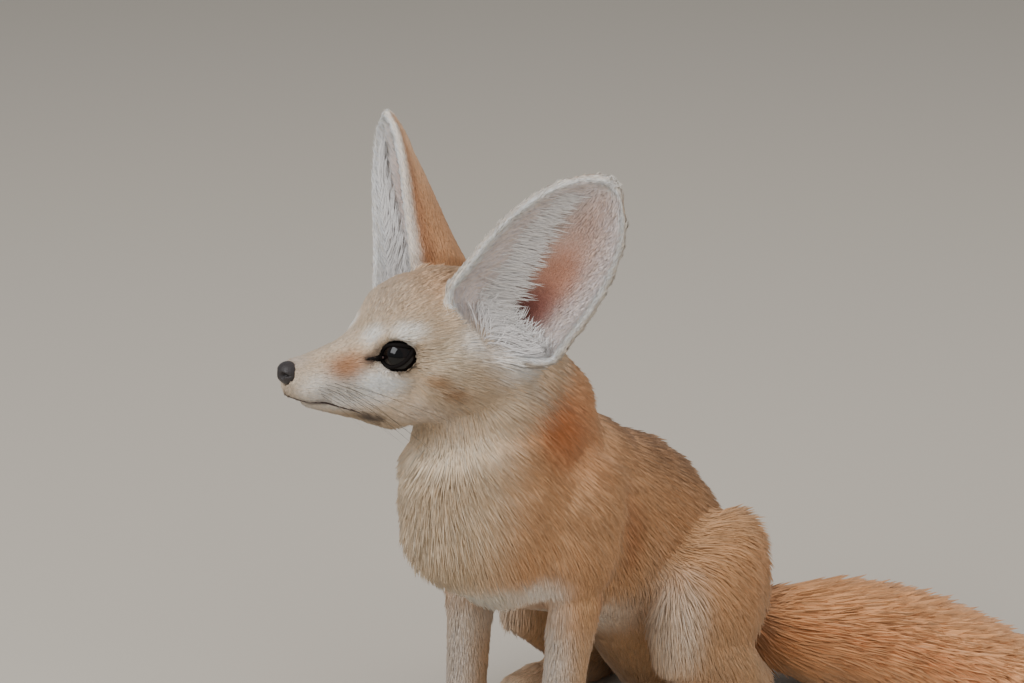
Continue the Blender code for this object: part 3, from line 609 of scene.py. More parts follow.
BODY_GUIDES = (
    Guide((-9, -46, 172), (0, 0.25, -1), 12, 15.3, 0.38),
    Guide((0, -55, 150), (0, 0.15, -1), 15, 17, 0.41),
    Guide((0, -53, 118), (0, 0.2, -1), 16, 18, 0.43),
    Guide((0, -42, 94), (0, 0.4, -1), 14, 19, 0.43),
    Guide((28, -18, 168), (0.05, 0.55, -0.85), 14, 15.3, 0.4),
    Guide((0, 16, 180), (0, 0.7, -0.75), 14, 13.6, 0.4),
    Guide((33, -8, 145), (0, 0.5, -0.85), 14, 14.4, 0.41),
    Guide((0, 36, 157), (0, 0.75, -0.65), 15, 13.6, 0.41),
    Guide((38, 0, 120), (0.05, 0.5, -0.85), 13, 13.6, 0.41),
    Guide((37, 32, 100), (0, 0.6, -0.8), 14, 13.6, 0.41),
    Guide((0, 76, 131), (0, 0.65, -0.75), 15, 13.6, 0.43),
    Guide((36, 62, 105), (0, 0.65, -0.75), 14, 13.6, 0.41),
    Guide((0, 121, 86), (0, 0.3, -1), 15, 13.6, 0.43),
    Guide((50, 82, 72), (0.05, 0.6, -0.8), 12, 11.9, 0.39),
    Guide((46, 50, 64), (0.1, 0.15, -1), 11, 11.9, 0.37),
    Guide((52, 74, 34), (0, 0.5, -0.85), 10, 11.9, 0.36),
    Guide((0, 20, 66), (0, 0.6, -0.8), 11, 13.6, 0.41),
    Guide((36, 0, 84), (0, 0.2, -1), 9, 11.9, 0.34),
    Guide((33, -3, 55), (0, 0.1, -1), 5.4, 10.2, 0.29),
    Guide((20, -3, 55), (0, 0.1, -1), 5.4, 10.2, 0.29),
    Guide((31, -8, 26), (0, -0.1, -1), 3.6, 10.2, 0.28),
    Guide((25, -16, 13), (0, -0.8, -0.5), 2.8, 11, 0.28),
    Guide((25, -23, 7), (0, -1, -0.3), 2.2, 12.8, 0.28),
    Guide((25, 1, 8), (0, 0.1, -1), 2.8, 11, 0.28),
    Guide((47, 84, 12), (0, -0.9, -0.4), 4.0, 10.2, 0.28),
    Guide((41, 44, 13), (0, -1, -0.2), 2.8, 11, 0.28),
    Guide((41, 32, 7), (0, -1, -0.3), 2.2, 12.8, 0.28),
    Guide((40, 112, 52), (0, 0.3, -1), 13, 12.8, 0.4),
    Guide((26, 92, 106), (0, 0.6, -0.8), 16, 15, 0.42),
    Guide((16, 128, 40), (0, 0.4, -0.9), 13, 14.4, 0.41),
)


@dataclass(frozen=True)
class Patch:
    """A soft patch of colour: its middle, its half sizes, its colour and how much it covers."""

    at: tuple[float, float, float]
    half: tuple[float, float, float]
    colour: tuple[int, int, int]
    share: float = 0.9
    mirrored: bool = True


MOUTH = (
    (9.6, -7.5, -28.0),
    (10.2, -12, -25.6),
    (10.2, -17, -23.2),
    (9.0, -23, -20.4),
    (7.0, -28.5, -18.2),
    (4.2, -34.2, -16.6),
    (0.0, -37.6, -15.0),
)
SAND = (208, 166, 124)
BUFF = (206, 182, 154)
CREAM = (224, 200, 170)
IVORY = (230, 218, 200)
WHITE = (240, 237, 232)
RUFOUS = (198, 128, 84)
TAWNY = (206, 156, 112)
SOOT = (66, 48, 42)

HEAD_PATCHES = (
    Patch((0, 28, 24), (24, 26, 14), (214, 172, 134), 0.85),
    Patch((0, 6, 17), (15, 13, 9), (210, 186, 162), 0.75),
    Patch((0, -18, 2), (6, 20, 6), (208, 187, 164), 0.8),
    Patch((9, -22, -12), (8, 16, 7), (236, 230, 220)),
    Patch((8, -18, -18), (10, 18, 5), (236, 230, 222)),
    Patch((10.5, -17.5, -4.5), (5.6, 9.5, 6.2), (176, 124, 86), 0.9),
    Patch((9, -6, 6), (4.5, 6, 4.2), (238, 234, 226), 0.9),
    Patch((17.5, 6, 7.5), (6.5, 7, 3.8), (240, 235, 226), 0.9),
    Patch((14.5, -4.5, -11.5), (8, 9.5, 6), (254, 253, 250), 0.98),
    Patch((26, 19, -3), (8, 10, 10), (206, 188, 164), 0.85),
    Patch((23, 14.5, -10.5), (4, 5, 2.6), (156, 118, 82), 0.8),
    Patch((25, 19.5, -14.8), (4, 5, 2.6), (160, 118, 80), 0.75),
    Patch((18, 14, -26), (11, 15, 7), (216, 198, 180), 0.85),
    Patch((28, 31, 4), (7, 9, 7), (236, 231, 224), 0.85),
    Patch((31, 44, -3), (9, 10, 12), (240, 236, 230)),
    Patch((31, 55, -12), (9, 8, 9), (230, 220, 208), 0.85),
    Patch((0, 60, 8), (24, 20, 24), (206, 164, 124), 0.9),
    Patch((-20, 62, -8), (20, 18, 22), (206, 168, 130), 0.75, False),
    Patch((0, -34, -3), (6, 5, 4), (196, 182, 170), 0.7),
    Patch((0, -29, -20), (6, 11, 4), (222, 210, 196)),
    Patch((8.6, -25, -14), (3.4, 6, 3), (204, 198, 192), 0.45),
    Patch((12, -18, -18.5), (3.5, 7, 2.6), (168, 156, 146), 0.6),
    Patch((9.8, -9.8, -26.6), (5, 8, 2.6), (50, 42, 40), 0.92),
    Patch((11.9, -9.2, -2.1), (2.2, 2.4, 1.9), SOOT, 0.97),
    Patch((12.6, -5.5, -2.3), (2.2, 4.6, 1.9), SOOT, 0.97),
    Patch((14, -4, 1.2), (2.2, 3, 2.4), (120, 104, 96), 0.6),
    Patch((-13, -6, 3), (3.2, 4, 3.4), (52, 42, 38), 0.92, False),
)

BODY_PATCHES = (
    Patch((-2, -57, 135), (27, 27, 54), (222, 198, 168), 0.95),
    Patch((-9, -49, 172), (17, 22, 20), (222, 205, 180)),
    Patch((30, -6, 164), (18, 20, 26), (206, 146, 104), 0.85),
    Patch((31, -18, 171), (12, 12, 16), (190, 112, 64), 0.9),
    Patch((36, -14, 122), (13, 24, 26), (208, 164, 124), 0.6),
    Patch((0, 66, 138), (20, 62, 24), (190, 140, 100), 0.55),
    Patch((38, 26, 112), (8, 7, 26), (176, 116, 74), 0.7),
    Patch((38, 10, 84), (8, 6, 15), (180, 124, 84), 0.6),
    Patch((4, -38, 90), (27, 24, 12), (238, 228, 214)),
    Patch((28, -20, 90), (12, 10, 12), (240, 232, 222), 0.9),
    Patch((26, -13, 46), (11, 11, 42), (208, 195, 182)),
    Patch((50, 84, 78), (14, 32, 28), (220, 168, 122), 0.7),
    Patch((47, 45, 66), (14, 13, 36), (226, 206, 184), 0.8),
    Patch((52, 62, 36), (10, 18, 16), (202, 164, 130), 0.5),
    Patch((0, 24, 68), (28, 50, 15), (234, 226, 214)),
    Patch((41, 58, 7), (10, 42, 9), (226, 208, 186), 0.85),
    Patch((25, -13, 8), (10, 16, 10), (226, 213, 198), 0.85),
)


@dataclass(frozen=True)
class EarPatch:
    """A soft patch of colour inside the ears, in shares of their length and width."""

    at: tuple[float, float]
    half: tuple[float, float]
    colour: tuple[int, int, int]
    share: float = 0.9


EAR_PATCHES = (
    EarPatch((0.60, 0.14), (0.30, 0.44), (214, 180, 164), 0.9),
    EarPatch((0.45, 0.18), (0.19, 0.30), (198, 140, 114), 0.9),
    EarPatch((0.25, 0.22), (0.16, 0.25), (144, 86, 74), 0.92),
    EarPatch((0.21, 0.16), (0.10, 0.14), (112, 64, 58), 0.85),
    EarPatch((0.04, -0.85), (0.09, 0.35), (160, 156, 156), 0.6),
    EarPatch((0.06, 0.55), (0.10, 0.5), (246, 242, 237), 0.9),
)


class Skin:
    """The one skin under the coat, drawn in by the coat's depth, with all that the coat reads from it."""

    flesh = (
        "head",
        "neck",
        "torso",
        "foreleg_left",
        "foreleg_right",
        "forepaw_left",
        "forepaw_right",
        "hind_leg_left",
        "hind_leg_right",
        "hind_foot_left",
        "hind_foot_right",
    )
    stood_for = (*flesh, "ear_left", "ear_right", "tail")
    voxel = 1.44
    overlap = 0.35
    ear_thickness = 2.5
    rim_thickness = 1.3
    nose_centre = np.array((0.0, -36.4, -7.3))
    nose_radii = np.array((5.3, 4.6, 4.8))

    def __init__(self, fox: FoxFrame, eye: EyeShape, tail: TailShape) -> None:
        """Keeps the shapes that the skin follows."""
        self.fox = fox
        self.eye = eye
        self.tail = tail

    def node_copy(self, name: str, bm: bmesh.types.BMesh) -> None:
        """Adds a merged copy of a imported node, swollen a little so that neighbours overlap."""
        part = bmesh.new()
        part.from_mesh(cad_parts[name].data)
        bmesh.ops.remove_doubles(part, verts=part.verts, dist=1e-6)
        part.normal_update()
        for vert in part.verts:
            vert.co += vert.normal * self.overlap * MM
        mesh = bpy.data.meshes.new("part")
        part.to_mesh(mesh)
        part.free()
        bm.from_mesh(mesh)
        bpy.data.meshes.remove(mesh)

    def add_grid(self, bm: bmesh.types.BMesh, rows: Array, closed: bool) -> None:
        """Adds a grid of points as faces.

        Args:
            bm: The bmesh that gets them.
            rows: Rows by columns by x, y, z, in metres.
            closed: Whether the columns go round and the ends are capped.
        """
        verts = [[bm.verts.new(p) for p in row] for row in rows]
        count = len(verts[0])
        for low, high in zip(verts, verts[1:]):
            for i in range(count if closed else count - 1):
                j = (i + 1) % count
                bm.faces.new((low[i], low[j], high[j], high[i]))
        if closed:
            bm.faces.new(verts[0])
            bm.faces.new(verts[-1])

    def add_ear(self, ear: EarShape, bm: bmesh.types.BMesh) -> None:
        """Adds one ear's cup as a thin wall with a thicker, rounded rim."""
        grow = (1 - np.cos(np.pi * np.arange(44) / 43)) / 2
        v, u = np.meshgrid(ear.foot + (0.997 - ear.foot) * grow, np.linspace(-1, 1, 49), indexing="ij")
        _, _, inward = ear.steps(v, u)
        half = (self.ear_thickness + self.rim_thickness * ear.rim(v, u))[..., None] / 2
        middle = ear.points(v, u)
        ring = np.concatenate((middle + inward * half, (middle - inward * half)[:, ::-1]), 1)
        self.add_grid(bm, self.fox.from_head(ring), True)

    def add_tail(self, bm: bmesh.types.BMesh) -> None:
        """Adds the tail's core as a tube of its own share of the radius."""
        along = self.tail.along
        up = unit(np.array((0, 0, 1.0)) - along * along[:, 2:3])
        side = np.cross(along, up)
        turns = np.linspace(0, 2 * math.pi, 24, endpoint=False)
        reach = (self.tail.radii * self.tail.core_share)[:, None, None]
        out = up[:, None] * np.cos(turns)[None, :, None] + side[:, None] * np.sin(turns)[None, :, None]
        self.add_grid(bm, self.fox.from_body(self.tail.places[:, None] + out * reach), True)

    def remeshed(self, bm: bmesh.types.BMesh) -> bpy.types.Object:
        """The closed union of all the bodies in a bmesh, in small even faces."""
        bmesh.ops.recalc_face_normals(bm, faces=bm.faces)
        mesh = bpy.data.meshes.new("bodies")
        bm.to_mesh(mesh)
        bm.free()
        bodies = link(bpy.data.objects.new("bodies", mesh))
        grid = bodies.modifiers.new("grid", "REMESH")
        grid.mode = "VOXEL"
        grid.voxel_size = self.voxel * MM
        shape = bpy.data.meshes.new_from_object(bodies.evaluated_get(bpy.context.evaluated_depsgraph_get()))
        bpy.data.objects.remove(bodies)
        shape.name = "skin"
        return link(bpy.data.objects.new("skin", shape))

    def read(self) -> None:
        """Reads the mesh's points, normals and triangles."""
        mesh = self.piece.data
        self.points = np.empty(len(mesh.vertices) * 3, np.float32)
        mesh.vertices.foreach_get("co", self.points)
        self.points = self.points.reshape(-1, 3).astype(float)
        mesh.calc_loop_triangles()
        triangles = np.empty(len(mesh.loop_triangles) * 3, np.int32)
        mesh.loop_triangles.foreach_get("vertices", triangles)
        self.triangles = triangles.reshape(-1, 3)
        edges = np.empty(len(mesh.edges) * 2, np.int32)
        mesh.edges.foreach_get("vertices", edges)
        self.edges = edges.reshape(-1, 2)

    def means(self, values: Array) -> Array:
        """The mean of each point's neighbours."""
        total = np.zeros_like(values)
        count = np.bincount(self.edges.ravel(), minlength=len(values))[:, None]
        for column in range(values.shape[1]):
            for a, b in ((0, 1), (1, 0)):
                add = values[self.edges[:, b], column]
                total[:, column] += np.bincount(self.edges[:, a], add, minlength=len(values))
        return total / np.maximum(count, 1)

    def normals(self) -> Array:
        """Each point's normal, from the triangles round it."""
        a, b, c = (self.points[self.triangles[:, i]] for i in range(3))
        faces = np.cross(b - a, c - a)
        total = np.zeros_like(self.points)
        for corner in range(3):
            for column in range(3):
                spread = np.bincount(self.triangles[:, corner], faces[:, column], minlength=len(total))
                total[:, column] += spread
        return unit(total)

    def smooth(self, weights: Array, rounds: int) -> None:
        """Smooths the points without shrinking the shape, as far as their weights say."""
        for _ in range(rounds):
            for step in (0.5, -0.53):
                moved = self.means(self.points) - self.points
                self.points += moved * step * weights[:, None]

    def ear_places(self) -> None:
        """Finds v, u and the inner or outer face for each point that lies on an ear."""
        count = len(self.points)
        self.ear_v = np.full(count, -1.0)
        self.ear_u = np.zeros(count)
        self.ear_in = np.zeros(count)
        self.ear_of = np.full(count, -1)
        head = self.fox.to_head(self.points)
        for number, ear in enumerate(EARS):
            rows, columns = np.linspace(max(ear.foot, -0.1), 0.995, 100), np.linspace(-1, 1, 81)
            v, u = (a.ravel() for a in np.meshgrid(rows, columns, indexing="ij"))
            grid = ear.points(v, u)
            tree = KDTree(len(grid))
            for i, spot in enumerate(grid):
                tree.insert(spot, i)
            tree.balance()
            low, high = grid.min(0) - 3, grid.max(0) + 3
            near = np.nonzero(((head > low) & (head < high)).all(1))[0]
            _, _, inward = ear.steps(v, u)
            for index in near:
                _, spot, gap = tree.find(head[index])
                if gap < 2.6 and v[spot] > min(0.0, 0.6 * ear.foot):
                    self.ear_v[index] = v[spot]
                    self.ear_u[index] = u[spot]
                    self.ear_in[index] = (head[index] - grid[spot]) @ inward[spot]
                    self.ear_of[index] = number

    def find_regions(self) -> None:
        """Says which region each point belongs to."""
        body = self.fox.to_body(self.points)
        head = self.fox.to_head(self.points)
        self.station, self.tail_gap, self.tail_turn = self.tail.nearest(body)
        arc = self.tail.arcs[self.station]
        outer = self.tail.radii[self.station]
        self.on_tail = (self.tail_gap < outer * 0.62) & (arc > 14) & (body[:, 1] > 100) & (body[:, 2] < 60)
        self.on_tail &= (arc > 34) | (body[:, 1] > 128 - 0.1 * arc)
        region = np.where(body[:, 1] < 12 - 0.25 * (body[:, 2] - 100), Region.CHEST.value, Region.BACK.value)
        region[(body[:, 2] > 138) & (body[:, 1] < 30)] = Region.NECK.value
        lower = body[:, 2] < 78 + 0.5 * np.abs(body[:, 0])
        region[lower & (body[:, 1] < 24) & (body[:, 2] < 74)] = Region.FORELEGS.value
        region[(body[:, 2] < 112) & (body[:, 1] >= 24) & (np.abs(body[:, 0]) > 24)] = Region.HIND_LEGS.value
        region[(body[:, 2] < 24) & (body[:, 1] >= 24)] = Region.HIND_LEGS.value
        neck_side = (body - (-2, -18, 170)) @ unit(np.array((0.12, 0.42, -0.90)))
        skull = (neck_side < 0) & (head[:, 1] < 75)
        region[skull] = Region.HEAD.value
        region[skull & (head[:, 1] < 12)] = Region.FACE.value
        region[self.on_tail] = Region.TAIL.value
        region[self.ear_of == 0] = Region.EAR_LEFT.value
        region[self.ear_of == 1] = Region.EAR_RIGHT.value
        self.region = region

    def lay_of_fur(self) -> None:
        """Works out the fur's run, length, lift and width at each point from the guides."""
        places, runs, sizes = [], [], []
        for guides, on_head in ((HEAD_GUIDES, True), (BODY_GUIDES, False)):
            for guide in guides:
                for side in (1, -1) if abs(guide.at[0]) > 0.5 else (1,):
                    at = np.array(guide.at, float) * (side, 1, 1)
                    run = unit(np.array(guide.run, float) * (side, 1, 1))
                    places.append(self.fox.from_head(at) if on_head else self.fox.from_body(at))
                    runs.append(self.fox.turned(run) if on_head else run)
                    sizes.append((guide.length, guide.lift, guide.width))
        places, runs, sizes = np.array(places) / MM, np.array(runs), np.array(sizes)
        self.run = np.empty_like(self.points)
        self.size = np.empty_like(self.points)
        for start in range(0, len(self.points), 8000):
            part = self.points[start : start + 8000] / MM
            gaps = ((part[:, None] - places[None]) ** 2).sum(2)
            weights = 1 / (gaps + 16) ** 1.7
            weights /= weights.sum(1, keepdims=True)
            self.run[start : start + 8000] = weights @ runs
            self.size[start : start + 8000] = weights @ sizes
        self.tail_fur()
        self.ear_fur()
        self.eye_fur()

    def tail_fur(self) -> None:
        """Long locks along the tail, that stand out to its outline."""
        on = self.on_tail
        outer = self.tail.radii[self.station]
        share = ease(self.tail.arcs[self.station], 14, 45)[on, None]
        run = self.tail.along[self.station][on]
        length = 27.0 * (0.55 + 0.45 * np.minimum(outer[on] / 22, 1))
        lift = np.degrees(np.arcsin(np.clip(outer[on] * (1 - self.tail.core_share) / length, 0, 0.75)))
        sizes = np.stack((length, lift, np.full(len(length), 0.56)), 1)
        self.run[on] = self.run[on] * (1 - share) + run * share
        self.size[on] = self.size[on] * (1 - share) + sizes * share

    def ear_fur(self) -> None:
        """Short velvet on the ears: full rims, combed panels, a bare cup and a sleek back."""
        for number, ear in enumerate(EARS):
            on = self.ear_of == number
            v, u, inner = self.ear_v[on], self.ear_u[on], self.ear_in[on] > 0
            up, over, _ = ear.steps(v, u)
            rim = ear.rim(v, u)
            cup = self.cup(ear, v, u)
            front = 1 - ease(u - ear.ridge(v), -0.1, 0.1)
            sweep_out = np.where(inner, 0.45 * front + 0.5 * ease(u, 0.2, 0.7), 0.12 * u)
            run = up + over * (sweep_out * (1 - rim) + rim * np.sign(u) * 0.35)[:, None]
            length = np.where(inner, 5.2 - 3.4 * cup, 3.4)
            length = (length * (1 - rim) + 2.8 * rim) * (0.45 + 0.55 * ease(v, -0.06, 0.07))
            lift = np.where(inner, 14.0, 11.0) * (1 - rim) + 17 * rim
            width = np.where(inner, 0.30, 0.32) - 0.05 * rim
            self.run[on] = self.fox.turned(unit(run))
            self.size[on] = np.stack((length, lift, width), 1)

    def cup(self, ear: EarShape, v: Array, u: Array) -> Array:
        """How bare the ear's inside is at each place, from 0 to 1."""
        past = ease(u - ear.ridge(v), -0.02, 0.14)
        return past * (1 - ease(u, 0.34, 0.52)) * (1 - ease(v, 0.6, 0.85)) * ease(v, 0.06, 0.16)

    def eye_fur(self) -> None:
        """Shortens the fur by the lids and the nose, and turns it away from the eyes."""
        head = self.fox.to_head(self.points)
        for side in Side:
            share, ahead = self.eye.almond(side, head)
            near = (1 - ease(share, 1.1, 1.9)) * (ahead > 0)
            look = self.eye.axes(side)[0]
            away = head - self.eye.centre(side)
            away = unit(away - look * (away @ look)[:, None])
            self.run = unit(self.run) * (1 - near[:, None]) + self.fox.turned(away) * near[:, None]
            self.size[:, 0] *= 1 - 0.62 * near
            self.size[:, 2] *= 1 - 0.25 * near
        self.nose_gap = np.linalg.norm((head - self.nose_centre) / self.nose_radii, axis=1)
        self.size[:, 0] *= 0.5 + 0.5 * ease(self.nose_gap, 1.0, 2.2)

    def draw_in(self) -> None:
        """Draws the skin in by the depth of the coat that it grows."""
        depth = self.size[:, :1] * np.sin(np.radians(self.size[:, 1:2])) * 0.85
        head = self.fox.to_head(self.points)
        under = ease(-head[:, 2], 10, 20) * (1 - ease(head[:, 1], 10, 30)) * (head[:, 1] < 30)
        depth = np.clip(depth, 0, 4.6) * (1 - 0.55 * under[:, None])
        depth[self.on_tail] = 0.0
        depth[self.ear_of >= 0] = 0.35
        for _ in range(12):
            depth = self.means(depth)
        self.points -= self.normals() * depth * MM

    def open_eyes(self) -> None:
        """Sinks the skin under the eyeballs and rests the lids on them."""
        head = self.fox.to_head(self.points)
        for side in Side:
            share, ahead = self.eye.almond(side, head)
            centre = self.eye.centre(side)
            away = head - centre
            gap = np.linalg.norm(away, axis=1)
            inside = (share < 1.0) & (ahead > 0) & (gap < 14)
            lid = (share >= 1.0) & (share < 1.9) & (ahead > 0) & (gap < self.eye.radius + 0.8)
            reach = np.where(inside, self.eye.radius - 1.6, np.where(lid, self.eye.radius + 0.8, gap))
            head = centre + away * (reach / np.maximum(gap, 1e-6))[:, None]
        self.points = self.fox.from_head(head)

    def shape(self) -> bpy.types.Object:
        """Builds the skin and works out everything that the coat reads from it.

        Returns:
            The skin as one object.
        """
        bm = bmesh.new()
        for name in self.flesh:
            self.node_copy(name, bm)
        for ear in EARS:
            self.add_ear(ear, bm)
        self.add_tail(bm)
        self.piece = self.remeshed(bm)
        self.read()
        self.ear_places()
        head = self.fox.to_head(self.points)
        body = self.fox.to_body(self.points)
        fine = np.maximum(1 - ease(head[:, 1], -8, 6), 1 - ease(body[:, 2], 14, 26))
        fine[body[:, 2] > 150] = (1 - ease(head[:, 1], -8, 6))[body[:, 2] > 150]
        self.smooth(np.ones(len(self.points)), 8)
        self.smooth((1 - fine) * (self.ear_of < 0), 34)
        self.find_regions()
        self.lay_of_fur()
        self.draw_in()
        self.open_eyes()
        self.smooth(np.full(len(self.points), 0.5), 2)
        self.normal = self.normals()
        self.run = unit(self.run - self.normal * (self.run * self.normal).sum(1, keepdims=True))
        self.piece.data.vertices.foreach_set("co", self.points.astype(np.float32).ravel())
        self.piece.data.polygons.foreach_set("use_smooth", [True] * len(self.piece.data.polygons))
        self.piece.data.update()
        return self.piece


class Markings:
    """The coat's colours, the same on the skin and on the fur."""

    cup_tints = {Side.LEFT: (228, 215, 210), Side.RIGHT: (246, 243, 240)}
    mouth_dark = (84, 70, 64)

    def __init__(self, skin: Skin) -> None:
        """Keeps the skin that is coloured."""
        self.skin = skin

    def patched(self, colour: Array, points: Array, patches: tuple[Patch, ...]) -> Array:
        """Lays soft patches over a colour, in order."""
        for patch in patches:
            for side in (1, -1) if patch.mirrored and abs(patch.at[0]) > 0.5 else (1,):
                gap = np.linalg.norm((points - np.array(patch.at) * (side, 1, 1)) / patch.half, axis=1)
                cover = (patch.share * np.exp(-(gap**3)))[:, None]
                colour = colour * (1 - cover) + linear(patch.colour) * cover
        return colour

    def lips(self, head: Array) -> Array:
        """How dark the line of the mouth makes places of the head, from 0 to 1."""
        cover = np.zeros(len(head))
        line = np.array(MOUTH)
        for i, (start, end) in enumerate(zip(line, line[1:])):
            reach = 2.4 - 0.25 * i
            for side in (1, -1):
                a, b = start * (side, 1, 1), end * (side, 1, 1)
                along = np.clip((head - a) @ (b - a) / ((b - a) @ (b - a)), 0, 1)
                gap = np.linalg.norm(head - a - along[:, None] * (b - a), axis=1)
                cover = np.maximum(cover, 0.85 * np.exp(-((gap / reach) ** 2.5)))
        return cover

    def on_ears(self, colour: Array) -> Array:
        """The ears: white rims and ridges, pale panels, a warm dark cup and an orange back."""
        skin = self.skin
        for number, ear in enumerate(EARS):
            on = skin.ear_of == number
            v, u, inner = skin.ear_v[on], skin.ear_u[on], skin.ear_in[on]
            rim = ear.rim(v, u)[:, None]
            face = np.tile(linear(self.cup_tints[ear.side]), (len(v), 1))
            for patch in EAR_PATCHES:
                gap = np.hypot((v - patch.at[0]) / patch.half[0], (u - patch.at[1]) / patch.half[1])
                cover = (patch.share * np.exp(-(gap**3)))[:, None]
                face = face * (1 - cover) + linear(patch.colour) * cover
            ridge = (0.85 * np.exp(-(((u - ear.ridge(v) + 0.1) / 0.11) ** 2)) * (1 - ease(v, 0.7, 0.9)))[:, None]
            face = face * (1 - ridge) + linear((236, 229, 225)) * ridge
            face = face * (1 - rim) + linear((246, 242, 237)) * rim
            high = ease(v, 0.3, 1)[:, None]
            back = linear((208, 156, 114)) * (1 - high) + linear((216, 176, 140)) * high
            line = (0.6 * np.exp(-(((u + 0.84) / 0.08) ** 2)))[:, None]
            back = back * (1 - line) + linear((150, 100, 70)) * line
            back = back * (1 - 0.9 * rim) + linear((240, 230, 218)) * 0.9 * rim
            turn = ease(inner, -0.5, 0.5)[:, None]
            mixed = back * (1 - turn) + face * turn
            foot = ease(v, max(ear.foot, 0.0), max(ear.foot, 0.0) + 0.05)[:, None]
            colour[on] = colour[on] * (1 - foot) + mixed * foot
        return colour

    def on_tail(self, colour: Array) -> Array:
        """The tail: rufous, dark at its tip and paler below, and dark at its root, partly the gland's own dark patch
        and partly painted shadow by the haunch.
        """
        skin = self.skin
        on = skin.on_tail
        arc = skin.tail.arcs[skin.station][on]
        below = ease(-np.cos(skin.tail_turn[on]), 0.1, 0.9)[:, None] * 0.55
        fur = linear((226, 164, 114)) * (1 - below) + linear((228, 190, 150)) * below
        # Painted shadow where the tail leaves the haunch, together with the gland's own dark patch.
        root = (1 - ease(arc, 18, 42))[:, None] * 0.75
        tip = ease(arc, skin.tail.length - 46, skin.tail.length - 22)[:, None] * 0.92
        fur = fur * (1 - root) + linear((128, 94, 74)) * root
        fur = fur * (1 - tip) + linear((64, 46, 38)) * tip
        colour[on] = fur
        return colour

    def colours(self) -> tuple[Array, Array]:
        """The colour of each point of the skin, and how its fur's tips differ.

        Returns:
            Linear colours, and a factor for the tips, below 1 where they are dark.
        """
        skin = self.skin
        body = skin.fox.to_body(skin.points)
        head = skin.fox.to_head(skin.points)
        high = ease(body[:, 2], 40, 120)[:, None]
        colour = linear(SAND) * (1 - high) + linear(TAWNY) * high
        colour = self.patched(colour, body, BODY_PATCHES)
        skull = np.isin(skin.region, (Region.HEAD.value, Region.FACE.value))
        face = self.patched(np.tile(linear(BUFF), (len(head), 1)), head, HEAD_PATCHES)
        lips = self.lips(head)[:, None]
        face = face * (1 - lips) + linear(self.mouth_dark) * lips
        neck_side = (body - (-2, -18, 170)) @ unit(np.array((0.12, 0.42, -0.90)))
        share = (1 - ease(neck_side, -9, 7))[:, None] * (head[:, 1:2] < 80)
        colour = colour * (1 - share) + face * share
        colour = self.on_tail(self.on_ears(colour))
        tips = np.full(len(body), 1.12)
        back = ease(body[:, 1], 20, 60) * ease(body[:, 2], 95, 125) * (1 - ease(np.abs(body[:, 0]), 16, 34))
        tips -= 0.42 * back
        tips[skull] -= 0.22 * ease(head[skull, 2], 6, 18)
        grain = np.array([noise.noise(Vector(p) * 120) for p in skin.points])
        return np.clip(colour * (1 + 0.10 * grain[:, None]), 0, 0.95), tips


@dataclass(frozen=True)
class CoatPart:
    """One piece of the coat: its region, how many tufts it has and how they are built."""

    name: str
    region: Region
    tufts: int
    clump: float = 0.2
    cell: float = 4.0
    slot: str = "sand_fur"


COAT_PARTS = (
    CoatPart("coat_face", Region.FACE, 45000, clump=0.12, cell=2.0, slot="cream_fur"),
    CoatPart("coat_head", Region.HEAD, 41000, clump=0.15, cell=3.0),
    CoatPart("coat_ear_left", Region.EAR_LEFT, 32000, clump=0.1, cell=2.0, slot="cream_fur"),
    CoatPart("coat_ear_right", Region.EAR_RIGHT, 24000, clump=0.1, cell=2.0, slot="cream_fur"),
    CoatPart("coat_neck", Region.NECK, 36000),
    CoatPart("coat_chest", Region.CHEST, 30000, slot="cream_fur"),
    CoatPart("coat_back", Region.BACK, 42000),
    CoatPart("coat_forelegs", Region.FORELEGS, 19000, clump=0.12, cell=3.0, slot="cream_fur"),
    CoatPart("coat_hind_legs", Region.HIND_LEGS, 42000, clump=0.15, cell=3.5),
    CoatPart("coat_tail", Region.TAIL, 44000, 0.3, 6.0, "tail_fur"),
)


